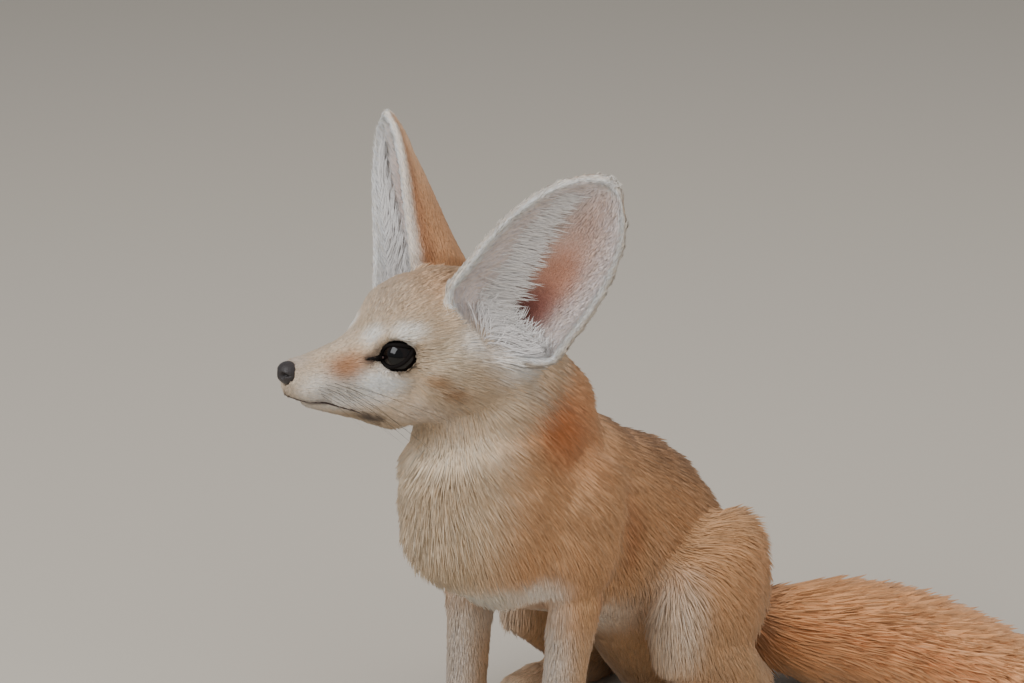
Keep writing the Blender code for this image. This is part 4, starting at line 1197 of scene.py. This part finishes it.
class Coat:
    """The fur as solid tufts that leave the skin and lie along it."""

    sink = 0.4
    wedge = ((14.4, -4.6, -1.9), (12.2, -8.8, -2.0))

    def __init__(self, skin: Skin, colour: Array, tips: Array) -> None:
        """Keeps the skin, its colours and its tips' tone."""
        self.skin = skin
        self.colour = colour
        self.tips = tips
        self.thick = self.density()

    def chart(self, region: Region, roots: Array, at: tuple[Array, Array]) -> Array:
        """The place of each root on an unwrap of its region's own shape.

        Args:
            region: Which region the roots grow on.
            roots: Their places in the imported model.
            at: For each root, the triangle and the weights of its corners.

        Returns:
            One row of two shares for each root.
        """
        skin = self.skin
        body = skin.fox.to_body(roots)
        head = skin.fox.to_head(roots)
        near = skin.triangles[at[0], at[1].argmax(1)]
        if region in (Region.EAR_LEFT, Region.EAR_RIGHT):
            inner = skin.ear_in[near] > 0
            across = (skin.ear_u[near] + 1) / 4 + np.where(inner, 0.0, 0.5)
            flat = np.stack((across, skin.ear_v[near]), 1)
        elif region is Region.TAIL:
            flat = np.stack((skin.tail_turn[near] / math.tau, skin.tail.arcs[skin.station[near]]), 1)
        elif region in (Region.HEAD, Region.FACE):
            flat = np.stack((np.arctan2(head[:, 0], head[:, 2] + 7) / math.tau, head[:, 1]), 1)
        elif region in (Region.FORELEGS, Region.HIND_LEGS):
            middle = (26.0, -3.0) if region is Region.FORELEGS else (41.0, 76.0)
            sign = np.sign(body[:, 0]) + (body[:, 0] == 0)
            turn = np.arctan2(np.abs(body[:, 0]) - middle[0], body[:, 1] - middle[1]) / math.tau
            flat = np.stack((turn + sign * 0.51, body[:, 2]), 1)
        else:
            axis = unit(np.array((5.0, 150.0, -145.0)))
            side = np.array((1.0, 0, 0))
            away = body - (-5, -30, 185)
            turn = np.arctan2(away @ side, away @ np.cross(side, axis)) / math.tau
            flat = np.stack((turn, away @ axis), 1)
        low, high = flat.min(0), flat.max(0)
        return (flat - low) / (high - low)

    def roots(self, part: CoatPart, count: int, draw: np.random.Generator) -> tuple[Array, Array]:
        """Draws where a part's tufts leave the skin, evenly over its area.

        Args:
            part: The piece of the coat.
            count: How many tufts it gets.
            draw: The seeded source of random numbers.

        Returns:
            Each root's triangle, and the weights of the triangle's corners.
        """
        skin = self.skin
        a, b, c = (skin.points[skin.triangles[:, i]] for i in range(3))
        area = np.linalg.norm(np.cross(b - a, c - a), axis=1)
        inside = (skin.region[skin.triangles] == part.region.value).sum(1) >= 2
        weight = area * inside * self.thick[skin.triangles].mean(1)
        total = np.cumsum(weight)
        spots = (np.arange(count) + draw.random(count)) / count * total[-1]
        triangle = np.minimum(np.searchsorted(total, spots), len(total) - 1)
        split = np.sort(draw.random((count, 2)), axis=1)
        return triangle, np.stack((split[:, 0], split[:, 1] - split[:, 0], 1 - split[:, 1]), 1)

    def density(self) -> Array:
        """How thickly the fur grows at each point: none under the eyes and nose, thin in the cups."""
        skin = self.skin
        thick = 1.2 / np.clip(skin.size[:, 0] * skin.size[:, 2], 0.4, 40) ** 0.45
        head = skin.fox.to_head(skin.points)
        for side in Side:
            share, ahead = skin.eye.almond(side, head)
            thick = np.where((ahead > 0) & (share < 1.08), 0, thick)
            start, end = (np.array(p) * (side.value, 1, 1) for p in self.wedge)
            along = np.clip((head - start) @ (end - start) / ((end - start) @ (end - start)), 0, 1)
            gap = np.linalg.norm(head - start - along[:, None] * (end - start), axis=1)
            thick = np.where(gap < 0.9, 0, thick)
        thick[skin.nose_gap < 1.06] = 0
        for number, ear in enumerate(EARS):
            on = skin.ear_of == number
            bare = skin.cup(ear, skin.ear_v[on], skin.ear_u[on]) * (skin.ear_in[on] > 0)
            thick[on] *= 1 - 0.8 * bare
        return thick

    def grow(self, part: CoatPart, draw: np.random.Generator) -> bpy.types.Object:
        """Builds one piece of the coat.

        Args:
            part: Which piece.
            draw: The seeded source of random numbers.

        Returns:
            The piece, painted and unwrapped.
        """
        skin = self.skin
        count = part.tufts
        at = self.roots(part, count, draw)

        def spread(values: Array) -> Array:
            """A value of the skin's points at each root."""
            corners = values[skin.triangles[at[0]]]
            return (corners * (at[1] if values.ndim == 1 else at[1][..., None])).sum(1)

        root, normal, run = spread(skin.points), unit(spread(skin.normal)), spread(skin.run)
        length, lift, width = spread(skin.size).T
        colour, tips = spread(self.colour), spread(self.tips)
        run = unit(run - normal * (run * normal).sum(1, keepdims=True))
        sway = draw.normal(0, 0.11, count)
        run = run * np.cos(sway)[:, None] + np.cross(normal, run) * np.sin(sway)[:, None]
        length = length * draw.uniform(0.72, 1.18, count) * MM
        steep = np.radians(lift * draw.uniform(0.55, 1.15, count))
        half = width * draw.uniform(0.75, 1.2, count) * MM / 2
        rise = (length * np.sin(steep))[:, None]
        level = (length * np.cos(steep))[:, None]
        tip = root + run * level + normal * rise
        bend = self.clumped(root, tip, part, draw) - tip
        tone = draw.normal(1, 0.045, count)[:, None]
        warm = 1 + draw.normal(0, 0.025, count)[:, None] * np.array((1, 0, -1.4))
        base = colour * tone * warm

        def line(t: float) -> Array:
            """The tufts' middle lines at a share of their length, sunk a little at the root."""
            sunk = normal * (self.sink * MM if t == 0 else 0)
            return root - sunk + run * level * t + normal * rise * (2.0 * t - t * t) + bend * t * t

        def shade(t: float) -> Array:
            """The tufts' colours at a share of their length: darker at the root as painted shade between the tufts,
            with the tips' own tone.
            """
            tips_now = 1 + (tips - 1) * max(0.0, (t - 0.35) / 0.65)
            # The root's factor of 0.84 is painted shade down in the coat; the tips' factor is their own colour.
            return base * ((0.84 + 0.16 * min(1.0, t / 0.38)) * tips_now)[:, None]

        mesh = LEAF.mesh(part.name, line, half, np.cross(normal, run), normal, shade)
        LEAF.unwrap(mesh, self.chart(part.region, root, at))
        LEAF.soften(mesh, normal)
        return link(bpy.data.objects.new(part.name, mesh))

    def clumped(self, root: Array, tip: Array, part: CoatPart, draw: np.random.Generator) -> Array:
        """The tips drawn part of the way to the mean tip of their neighbours.

        Args:
            root: The tufts' roots.
            tip: Their tips.
            part: The piece, with the size of its clumps and how strongly they draw.
            draw: The seeded source of random numbers.

        Returns:
            The new tips.
        """
        warp = 0.4 * part.cell * np.sin(root[:, [1, 2, 0]] / MM / part.cell * 1.7 + 2.0)
        cells = np.floor((root / MM + warp) / part.cell).astype(np.int64)
        _, group = np.unique(cells, axis=0, return_inverse=True)
        group = group.ravel()
        size = np.bincount(group)
        centre = np.stack([np.bincount(group, tip[:, i]) / size for i in range(3)], 1)
        pull = part.clump * draw.uniform(0.4, 1.4, len(tip))[:, None]
        return tip + (centre[group] - tip) * np.clip(pull, 0, 0.8)


class Finishes:
    """The finishes and the shared effects that they use."""

    def __init__(self) -> None:
        """Builds the shared effect once."""
        self.grain = self.grain_group()

    def grain_group(self) -> bpy.types.NodeTree:
        """A fine change of tone and a height, by noise on the object's own coordinates."""
        group = bpy.data.node_groups.new("fine_grain", "ShaderNodeTree")
        sockets = (("Color", "NodeSocketColor"), ("Scale", "NodeSocketFloat"), ("Amount", "NodeSocketFloat"))
        for name, kind in sockets:
            group.interface.new_socket(name, in_out="INPUT", socket_type=kind)
        group.interface.new_socket("Color", in_out="OUTPUT", socket_type="NodeSocketColor")
        group.interface.new_socket("Height", in_out="OUTPUT", socket_type="NodeSocketFloat")
        nodes, links = group.nodes, group.links
        given, out = nodes.new("NodeGroupInput"), nodes.new("NodeGroupOutput")
        place = nodes.new("ShaderNodeTexCoord")
        pattern = nodes.new("ShaderNodeTexNoise")
        pattern.inputs["Detail"].default_value = 3.0
        low, high = nodes.new("ShaderNodeMath"), nodes.new("ShaderNodeMath")
        low.operation, high.operation = "SUBTRACT", "MULTIPLY_ADD"
        low.inputs[1].default_value = 0.5
        high.inputs[2].default_value = 1.0
        tint = nodes.new("ShaderNodeVectorMath")
        tint.operation = "SCALE"
        links.new(place.outputs["Object"], pattern.inputs["Vector"])
        links.new(given.outputs["Scale"], pattern.inputs["Scale"])
        links.new(pattern.outputs["Fac"], low.inputs[0])
        links.new(low.outputs[0], high.inputs[0])
        links.new(given.outputs["Amount"], high.inputs[1])
        links.new(given.outputs["Color"], tint.inputs[0])
        links.new(high.outputs[0], tint.inputs["Scale"])
        links.new(tint.outputs["Vector"], out.inputs["Color"])
        links.new(pattern.outputs["Fac"], out.inputs["Height"])
        return group

    def make(self, look: "Look") -> bpy.types.Material:
        """Builds the material that a look describes."""
        material = bpy.data.materials.new(look.name)
        material.use_nodes = True
        nodes, links = material.node_tree.nodes, material.node_tree.links
        shader = nodes["Principled BSDF"]
        for socket, value in (
            ("Roughness", look.roughness),
            ("Specular IOR Level", look.specular),
            ("Sheen Weight", look.sheen),
            ("Sheen Roughness", 0.5),
            ("Coat Weight", look.coat),
            ("Coat Roughness", 0.04),
            ("Subsurface Weight", look.depth),
            ("Subsurface Scale", 0.002),
        ):
            shader.inputs[socket].default_value = value
        effect = nodes.new("ShaderNodeGroup")
        effect.node_tree = self.grain
        effect.inputs["Scale"].default_value = look.grain
        effect.inputs["Amount"].default_value = look.amount
        if look.colour is None:
            source = nodes.new("ShaderNodeAttribute")
            source.attribute_name = COLOUR
            links.new(source.outputs["Color"], effect.inputs["Color"])
        else:
            effect.inputs["Color"].default_value = (*linear(look.colour), 1)
        links.new(effect.outputs["Color"], shader.inputs["Base Color"])
        if look.bump > 0:
            bump = nodes.new("ShaderNodeBump")
            bump.inputs["Strength"].default_value = look.bump
            bump.inputs["Distance"].default_value = 0.0004
            links.new(effect.outputs["Height"], bump.inputs["Height"])
            links.new(bump.outputs["Normal"], shader.inputs["Normal"])
        return material


@dataclass(frozen=True)
class Look:
    """One finish: its colour, or the painted one, with its gloss, sheen, grain and bump."""

    name: str
    colour: tuple[int, int, int] | None
    roughness: float
    specular: float = 0.3
    sheen: float = 0.0
    coat: float = 0.0
    depth: float = 0.0
    grain: float = 400.0
    amount: float = 0.2
    bump: float = 0.0


LOOKS = {
    "coat": Look("soft fur", None, 0.72, 0.22, 0.12, grain=900, amount=0.35),
    "skin": Look("skin under fur", None, 0.85, 0.15, 0.1, grain=1600, amount=0.5, bump=0.6),
    "nose": Look("nose leather", (52, 47, 47), 0.42, 0.45, grain=1500, amount=0.5, bump=0.7),
    "lid": Look("eye rim", (20, 16, 15), 0.75, 0.12, grain=1200, amount=0.3, bump=0.3),
    "tear": Look("eye corner", (92, 68, 64), 0.3, 0.4, grain=900, amount=0.2),
    "lip": Look("lip", (58, 44, 40), 0.5, 0.35, grain=1200, amount=0.3, bump=0.4),
    "whisker": Look("whisker", (52, 42, 38), 0.45, 0.4, grain=300, amount=0.3),
    "claw": Look("claw horn", (112, 92, 78), 0.35, 0.45, grain=500, amount=0.5, bump=0.3),
}


@dataclass
class Face:
    """The bare parts of the head: eyes, lid rims, nose, lips and whiskers."""

    fox: FoxFrame
    eye: EyeShape
    skin: Skin
    rim_radius: float = 0.85
    def eyeball(self, side: Side) -> bpy.types.Object:
        """One eyeball, with its pole where it looks."""
        bm = bmesh.new()
        bmesh.ops.create_uvsphere(bm, u_segments=64, v_segments=40, radius=self.eye.radius * MM)
        look, corner, rise = (Vector(a) for a in self.eye.axes(side))
        turn = Matrix((corner, look.cross(corner), look)).transposed().to_4x4()
        place = Matrix.Translation(Vector(self.eye.centre(side)) * MM)
        for vert in bm.verts:
            height = max(0.0, vert.co.z / (self.eye.radius * MM) - 0.55)
            vert.co.z += height**2 * 1.6 * MM
        bm.transform(self.fox.model_from_head() @ place @ turn)
        return finished(f"eyeball_{side.name.lower()}", bm)

    def eye_material(self, side: Side) -> bpy.types.Material:
        """The wet dark eye: pupil, deep brown iris and near-black edge, by distance from its middle."""
        material = bpy.data.materials.new(f"eye {side.name.lower()}")
        material.use_nodes = True
        nodes, links = material.node_tree.nodes, material.node_tree.links
        shader = nodes["Principled BSDF"]
        for socket, value in (("Roughness", 0.07), ("Specular IOR Level", 0.4)):
            shader.inputs[socket].default_value = value
        apex = self.eye.centre(side) + self.eye.axes(side)[0] * (self.eye.radius + 0.3)
        spot = self.fox.from_head(apex[None])[0]
        place = nodes.new("ShaderNodeTexCoord")
        gap = nodes.new("ShaderNodeVectorMath")
        gap.operation = "DISTANCE"
        gap.inputs[1].default_value = spot
        share = nodes.new("ShaderNodeMath")
        share.operation = "DIVIDE"
        share.inputs[1].default_value = self.eye.radius * MM
        ramp = nodes.new("ShaderNodeValToRGB")
        stops = ((0.0, (4, 4, 5)), (0.40, (5, 4, 5)), (0.46, (20, 13, 11)), (0.62, (17, 11, 9)))
        stops += ((0.72, (9, 7, 7)), (0.88, (20, 15, 14)))
        while len(ramp.color_ramp.elements) < len(stops):
            ramp.color_ramp.elements.new(0.5)
        for element, (position, colour) in zip(ramp.color_ramp.elements, stops):
            element.position = position
            element.color = (*linear(colour), 1)
        links.new(place.outputs["Object"], gap.inputs[0])
        links.new(gap.outputs["Value"], share.inputs[0])
        links.new(share.outputs[0], ramp.inputs["Fac"])
        links.new(ramp.outputs["Color"], shader.inputs["Base Color"])
        return material

    def lids(self, side: Side) -> bpy.types.Object:
        """The dark bare rim of both lids, with a point towards the nose."""
        bm = bmesh.new()
        steps = 72
        path, radii = [], []
        look = Vector(self.fox.turned(self.eye.axes(side)[0]))
        for i in range(steps + 1):
            turn = math.tau * i / steps
            spot = self.eye.edge(side, 1.02, self.eye.radius + 0.15, turn)
            path.append(Vector(self.fox.from_head(spot[None])[0]))
            inner = max(0.0, math.cos(turn)) ** 6
            radii.append(self.rim_radius * (1 + 0.35 * inner) * MM)
        sweep(bm, path, radii, 10, look)
        surface = BVHTree.FromObject(self.skin.piece, bpy.context.evaluated_depsgraph_get())
        start = self.eye.edge(side, 0.96, self.eye.radius + 0.3, 0.0)
        knots = [start, *(np.array(p) * (side.value, 1, 1) for p in Coat.wedge)]
        line = smooth_path([Vector(self.fox.from_head(k[None])[0]) for k in knots], 6)
        laid = [line[0]] + [surface.find_nearest(p)[0] for p in line[1:]]
        sweep(bm, laid, [1.5 * (1 - 0.55 * i / (len(laid) - 1)) * MM for i in range(len(laid))], 10)
        return finished(f"eye_rim_{side.name.lower()}", bm)

    def tear(self, side: Side) -> bpy.types.Object:
        """The small pale fold in the inner corner."""
        bm = bmesh.new()
        bmesh.ops.create_icosphere(bm, subdivisions=3, radius=0.7 * MM)
        look, corner, _ = (Vector(a) for a in self.eye.axes(side))
        turn = Matrix((corner, look.cross(corner), look)).transposed().to_4x4()
        bmesh.ops.scale(bm, vec=(1.2, 0.7, 0.6), verts=bm.verts)
        spot = self.eye.edge(side, 0.86, self.eye.radius + 0.05, 0.0)
        bm.transform(self.fox.model_from_head() @ Matrix.Translation(Vector(spot) * MM) @ turn)
        return finished(f"eye_corner_{side.name.lower()}", bm)

    def nose(self) -> bpy.types.Object:
        """The bare pad, with its comma nostrils and the groove between them."""
        bm = bmesh.new()
        bmesh.ops.create_icosphere(bm, subdivisions=6, radius=1.0)
        for vert in bm.verts:
            x, y, z = vert.co
            front = max(0.0, -y)
            vert.co.x = x * (1 + 0.08 * max(0, z)) * 5.3
            vert.co.z = z * (4.8 - 0.7 * front * max(0.0, -z))
            vert.co.y = y * 4.6
            for side in (1, -1):
                for cx, cz, wide, high, deep in (
                    (2.35, 0.1, 0.95, 1.15, 2.2),
                    (3.3, 0.55, 1.05, 0.62, 1.3),
                    (4.3, 0.2, 0.9, 0.45, 0.8),
                ):
                    gap = ((vert.co.x - side * cx) / wide) ** 2 + ((vert.co.z - cz) / high) ** 2
                    vert.co.y += deep * math.exp(-(gap**1.5)) * (y < 0)
            groove = math.exp(-((vert.co.x / 0.33) ** 2)) * (y < 0)
            vert.co.y += 0.45 * groove * (1 if vert.co.z < 1.5 else 0.2)
        place = Matrix.Translation(Vector(self.skin.nose_centre) * MM) @ Matrix.Scale(MM, 4)
        bm.transform(self.fox.model_from_head() @ place)
        return finished("nose_pad", bm)

    def lips(self) -> bpy.types.Object:
        """The dark line between the lips, laid on the skin."""
        surface = BVHTree.FromObject(self.skin.piece, bpy.context.evaluated_depsgraph_get())
        right = [(-x, y, z) for x, y, z in MOUTH[-2::-1]]
        line = smooth_path([Vector(p) for p in (*MOUTH, *right)], 5)
        path, radii = [], []
        for i, point in enumerate(line):
            place, normal, _, _ = surface.find_nearest(Vector(self.fox.from_head(np.array(point)[None])[0]))
            path.append(place + normal * 0.5 * MM)
            end = min(i, len(line) - 1 - i) / 6
            radii.append(0.33 * min(1.0, 0.3 + 0.7 * end) * MM)
        for _ in range(4):
            path[1:-1] = [(a + b * 2 + c) / 4 for a, b, c in zip(path, path[1:], path[2:])]
        bm = bmesh.new()
        sweep(bm, path, radii, 8)
        return finished("lip_line", bm)

    def whiskers(self) -> bpy.types.Object:
        """Dark tapered whiskers in four rows on each side of the muzzle."""
        surface = BVHTree.FromObject(self.skin.piece, bpy.context.evaluated_depsgraph_get())
        draw = np.random.default_rng(5)
        bm = bmesh.new()
        for side in Side:
            for row, (height, count) in enumerate(((-10.5, 4), (-12.5, 5), (-14.5, 5), (-16.2, 4))):
                for i in range(count):
                    at = np.array((side.value * 12, -28.5 + i * 3.3 + row * 0.8, height - 0.25 * i))
                    place, normal, _, _ = surface.find_nearest(Vector(self.fox.from_head(at[None])[0]))
                    length = (22 + 6.5 * i) * draw.uniform(0.85, 1.15)
                    out = np.array((side.value * (0.75 - 0.08 * i), 0.62, -0.15 - 0.10 * row))
                    out = unit(out + draw.normal(0, 0.06, 3))
                    sag = np.array((0, 0.35, -0.55)) + draw.normal(0, 0.08, 3)
                    path = []
                    for t in np.linspace(0, 1, 9):
                        step = out * length * t + sag * length * 0.4 * t * t
                        path.append(place + Vector(self.fox.turned(step)) * MM)
                    sweep(bm, path, [0.075 * (1.02 - t) * MM for t in np.linspace(0, 1, 9)], 4)
        return finished("whiskers", bm)


@dataclass(frozen=True)
class Claws:
    """The claws of one paw, each a finer, curved form of its own solid."""

    foot: str
    side: Side
    sides: int = 14

    def nodes(self) -> list[str]:
        """The names of the solids that the claws stand for."""
        return [f"{self.foot}_claw_{self.side.name.lower()}_{i}" for i in range(1, 5)]

    def build(self) -> bpy.types.Object:
        """Builds the four claws from their solids' own ends."""
        bm = bmesh.new()
        for name in self.nodes():
            spots = np.array([v.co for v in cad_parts[name].data.vertices])
            base = spots[spots[:, 1] > spots[:, 1].max() - 0.0006].mean(0)
            tip = spots[((spots - base) ** 2).sum(1).argmax()]
            rise = np.array((0, 0, 1.0))
            path, radii = [], []
            for t in np.linspace(0, 1, 10):
                curve = rise * 0.0011 * math.sin(math.pi * t)
                path.append(Vector(base * (1 - t) + tip * t + curve))
                radii.append(0.00125 * (1 - 0.86 * t**1.7))
            sweep(bm, path, radii, self.sides)
        return finished(f"{self.foot}_claws_{self.side.name.lower()}", bm)


@dataclass
class EarFringe:
    """The long pale hairs along the cup: a ridge that curls back over it, and tufts at its foot."""

    fox: FoxFrame
    ear: EarShape
    ridge_tufts: int = 2000
    foot_tufts: int = 700
    rim_tufts: int = 0

    def ridge(self, draw: np.random.Generator) -> Array:
        """The hairs of the ridge: their v, u, length, way round, way up and how far they stand off."""
        count = self.ridge_tufts
        share = draw.random(count)
        v = 0.03 + 0.80 * share
        u = self.ear.ridge(v) - 0.22 + draw.normal(0, 0.09, count)
        length = 15.0 * (1 - 0.45 * share) * draw.uniform(0.55, 1.1, count)
        stand = draw.uniform(1.0, 5.5, count) * (1 - 0.4 * share)
        return np.stack((v, u, length, draw.normal(0.80, 0.15, count), draw.normal(0.55, 0.15, count), stand))

    def foot(self, draw: np.random.Generator) -> Array:
        """The hairs at the cup's foot, as for the ridge."""
        count = self.foot_tufts
        v = max(self.ear.foot, 0.0) + 0.13 * draw.random(count)
        u = draw.uniform(-0.35, 0.95, count)
        length = draw.uniform(6, 12, count)
        return np.stack((v, u, length, draw.normal(0, 0.3, count), np.full(count, 0.9), draw.uniform(1, 6, count)))

    def rims(self, draw: np.random.Generator) -> Array:
        """The hairs that close a cup seen from its side, as for the ridge."""
        count = self.rim_tufts
        side = draw.choice((-1.0, 1.0), count)
        v = draw.uniform(0.02, 0.86, count)
        u = side * draw.uniform(0.70, 0.90, count)
        length = draw.uniform(8, 13, count) * (1 - 0.4 * v)
        return np.stack((v, u, length, -0.5 * side, draw.uniform(0.6, 0.9, count), draw.uniform(2, 6, count)))

    def build(self) -> bpy.types.Object:
        """Builds one ear's fringe of hairs that follow the cup's own curve.

        Returns:
            The fringe, painted and unwrapped.
        """
        draw = np.random.default_rng(20 + self.ear.side.value)
        groups = (self.ridge(draw), self.foot(draw), self.rims(draw))
        v, u, length, over, up, stand = np.concatenate(groups, axis=1)
        small = 0.01
        wide = np.linalg.norm(self.ear.points(v, u + small) - self.ear.points(v, u), axis=1) / small
        tone = draw.normal(1, 0.04, len(v))[:, None]
        width = draw.uniform(0.14, 0.27, len(v)) * MM
        name = f"ear_fringe_{self.ear.side.name.lower()}"

        def line(t: float) -> Array:
            """The hairs' middle lines at a share of their length."""
            row = np.minimum(v + up * length * t / self.ear.length(), 0.985)
            column = np.clip(u + over * length * t / wide, -0.97, 0.97)
            _, _, inward = self.ear.steps(row, column)
            off = 0.4 + stand * t * (1.5 - 0.6 * t)
            return self.fox.from_head(self.ear.points(row, column) + inward * off[:, None])

        def shade(t: float) -> Array:
            """The hairs' colours at a share of their length, darker at the root as painted shade."""
            # The factor of 0.88 at the root is painted shade among the hairs.
            return linear((248, 244, 241)) * tone * (0.88 + 0.12 * t)

        _, _, rise = self.ear.steps(v, u)
        rise = self.fox.turned(rise)
        half = unit(np.cross(rise, line(0.5) - line(0.0)))
        mesh = LONG_LOCK.mesh(name, line, width, half, rise, shade)
        LONG_LOCK.soften(mesh, rise)
        LONG_LOCK.unwrap(mesh, np.stack(((u - u.min()) / np.ptp(u), (v - v.min()) / np.ptp(v)), 1))
        return link(bpy.data.objects.new(name, mesh))


@dataclass(frozen=True)
class Stage:
    """The pale floor, the soft light and the camera at the photograph's angle."""

    azimuth: float = math.radians(40)
    elevation: float = math.radians(16)
    distance: float = 1.4
    metres_per_pixel: float = 0.0004
    frame_wide: int = 1024
    eye_at: tuple[float, float] = (371.0, 343.5)
    middle: tuple[float, float] = (512.0, 341.5)

    def camera(self, fox: FoxFrame) -> None:
        """Sets the camera so that the fox stands where the photograph has it."""
        right = Vector((math.cos(self.azimuth), math.sin(self.azimuth), 0))
        flat = math.cos(self.elevation)
        back = Vector((math.sin(self.azimuth) * flat, -math.cos(self.azimuth) * flat, math.sin(self.elevation)))
        up = back.cross(right)
        head = Vector(fox.head_at) * MM + fox.shift()
        aim = head + right * (self.middle[0] - self.eye_at[0]) * self.metres_per_pixel
        aim += up * (self.eye_at[1] - self.middle[1]) * self.metres_per_pixel
        data = bpy.data.cameras.new("camera")
        data.sensor_width = 36.0
        data.lens = 36.0 * self.distance / self.metres_per_pixel / self.frame_wide
        camera = link(bpy.data.objects.new("camera", data))
        camera.location = aim + back * self.distance
        camera.rotation_mode = "QUATERNION"
        camera.rotation_quaternion = (-back).to_track_quat("-Z", "Y")
        bpy.context.scene.camera = camera

    def light(
        self, name: str, place: tuple[float, float, float], size: float, power: float, tint: Array
    ) -> bpy.types.Object:
        """Adds one soft square light that faces the fox."""
        data = bpy.data.lights.new(name, "AREA")
        data.size, data.energy, data.color = size, power, tint
        lamp = link(bpy.data.objects.new(name, data))
        lamp.location = place
        lamp.rotation_mode = "QUATERNION"
        lamp.rotation_quaternion = (Vector((0, 0, 0.12)) - Vector(place)).to_track_quat("-Z", "Y")
        return lamp

    def floor(self) -> None:
        """A plain pale floor, level with the lowest point of the fox."""
        bm = bmesh.new()
        level = Matrix.Translation((0, 0, CAD_BOX[0].z))
        bmesh.ops.create_grid(bm, x_segments=1, y_segments=1, size=12, matrix=level)
        floor = finished("floor", bm, False)
        material = bpy.data.materials.new("pale floor")
        material.use_nodes = True
        shader = material.node_tree.nodes["Principled BSDF"]
        shader.inputs["Base Color"].default_value = (*linear((190, 182, 170)), 1)
        shader.inputs["Roughness"].default_value = 0.9
        floor.data.materials.append(material)
        floor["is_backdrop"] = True

    def build(self, fox: FoxFrame) -> None:
        """Sets the floor, the lights, the sky and the camera."""
        self.floor()
        self.light("window", (-0.35, -1.5, 1.35), 1.2, 25, (0.97, 0.985, 1.0))
        for name, place, size, power in (("ceiling", (0.2, 0.1, 2.0), 2.0, 25), ("side", (1.6, -0.5, 0.9), 1.2, 9)):
            self.light(name, place, size, power, (1.0, 0.985, 0.96)).visible_glossy = False
        world = bpy.data.worlds.new("soft sky")
        world.use_nodes = True
        world.node_tree.nodes["Background"].inputs["Color"].default_value = (0.93, 0.94, 0.96, 1)
        world.node_tree.nodes["Background"].inputs["Strength"].default_value = 0.35
        bpy.context.scene.world = world
        self.camera(fox)


def settle(piece: bpy.types.Object, material: bpy.types.Material, slot: str, nodes: tuple[str, ...] = ()) -> None:
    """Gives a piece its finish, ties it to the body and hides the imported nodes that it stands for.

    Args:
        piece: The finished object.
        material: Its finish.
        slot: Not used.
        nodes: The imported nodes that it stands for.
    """
    piece.data.materials.clear()
    piece.data.materials.append(material)
    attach(piece, BODY)
    if nodes:
        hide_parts(*nodes)
    LOG.info("%s: %d points", piece.name, len(piece.data.vertices))


def main() -> None:
    """Builds the fox piece by piece, then the stage."""
    logging.basicConfig(level=logging.INFO, format="%(name)s %(message)s")
    fox, eye, tail = FoxFrame(), EyeShape(), TailShape()
    finishes = Finishes()
    looks = {name: finishes.make(look) for name, look in LOOKS.items()}
    skin = Skin(fox, eye, tail)
    piece = skin.shape()
    colour, tips = Markings(skin).colours()
    # The skin between the tufts takes the coat's colours a fifth darker, as painted shade deep in the coat.
    paint(piece.data, colour * 0.8)
    settle(piece, looks["skin"], "sand_fur", skin.stood_for)
    coat = Coat(skin, colour, tips)
    for number, part in enumerate(COAT_PARTS):
        settle(coat.grow(part, np.random.default_rng(100 + number)), looks["coat"], part.slot)
    for ear, rim_tufts in zip(EARS, (0, 1600)):
        settle(EarFringe(fox, ear, rim_tufts=rim_tufts).build(), looks["coat"], "cream_fur")
    face = Face(fox, eye, skin)
    for side in Side:
        name = side.name.lower()
        settle(face.eyeball(side), face.eye_material(side), "eye", (f"eye_{name}",))
        settle(face.lids(side), looks["lid"], "nose_skin")
        settle(face.tear(side), looks["tear"], "nose_skin")
        for foot in ("fore", "hind"):
            claws = Claws(foot, side)
            settle(claws.build(), looks["claw"], "claw_horn", tuple(claws.nodes()))
    settle(face.nose(), looks["nose"], "nose_skin", ("nose",))
    settle(face.lips(), looks["lip"], "nose_skin")
    settle(face.whiskers(), looks["whisker"], "cream_fur")
    Stage().build(fox)
    [[list(corner) for corner in box] for box in (CAD_BOX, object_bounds())]


if __name__ == "__main__":
    main()
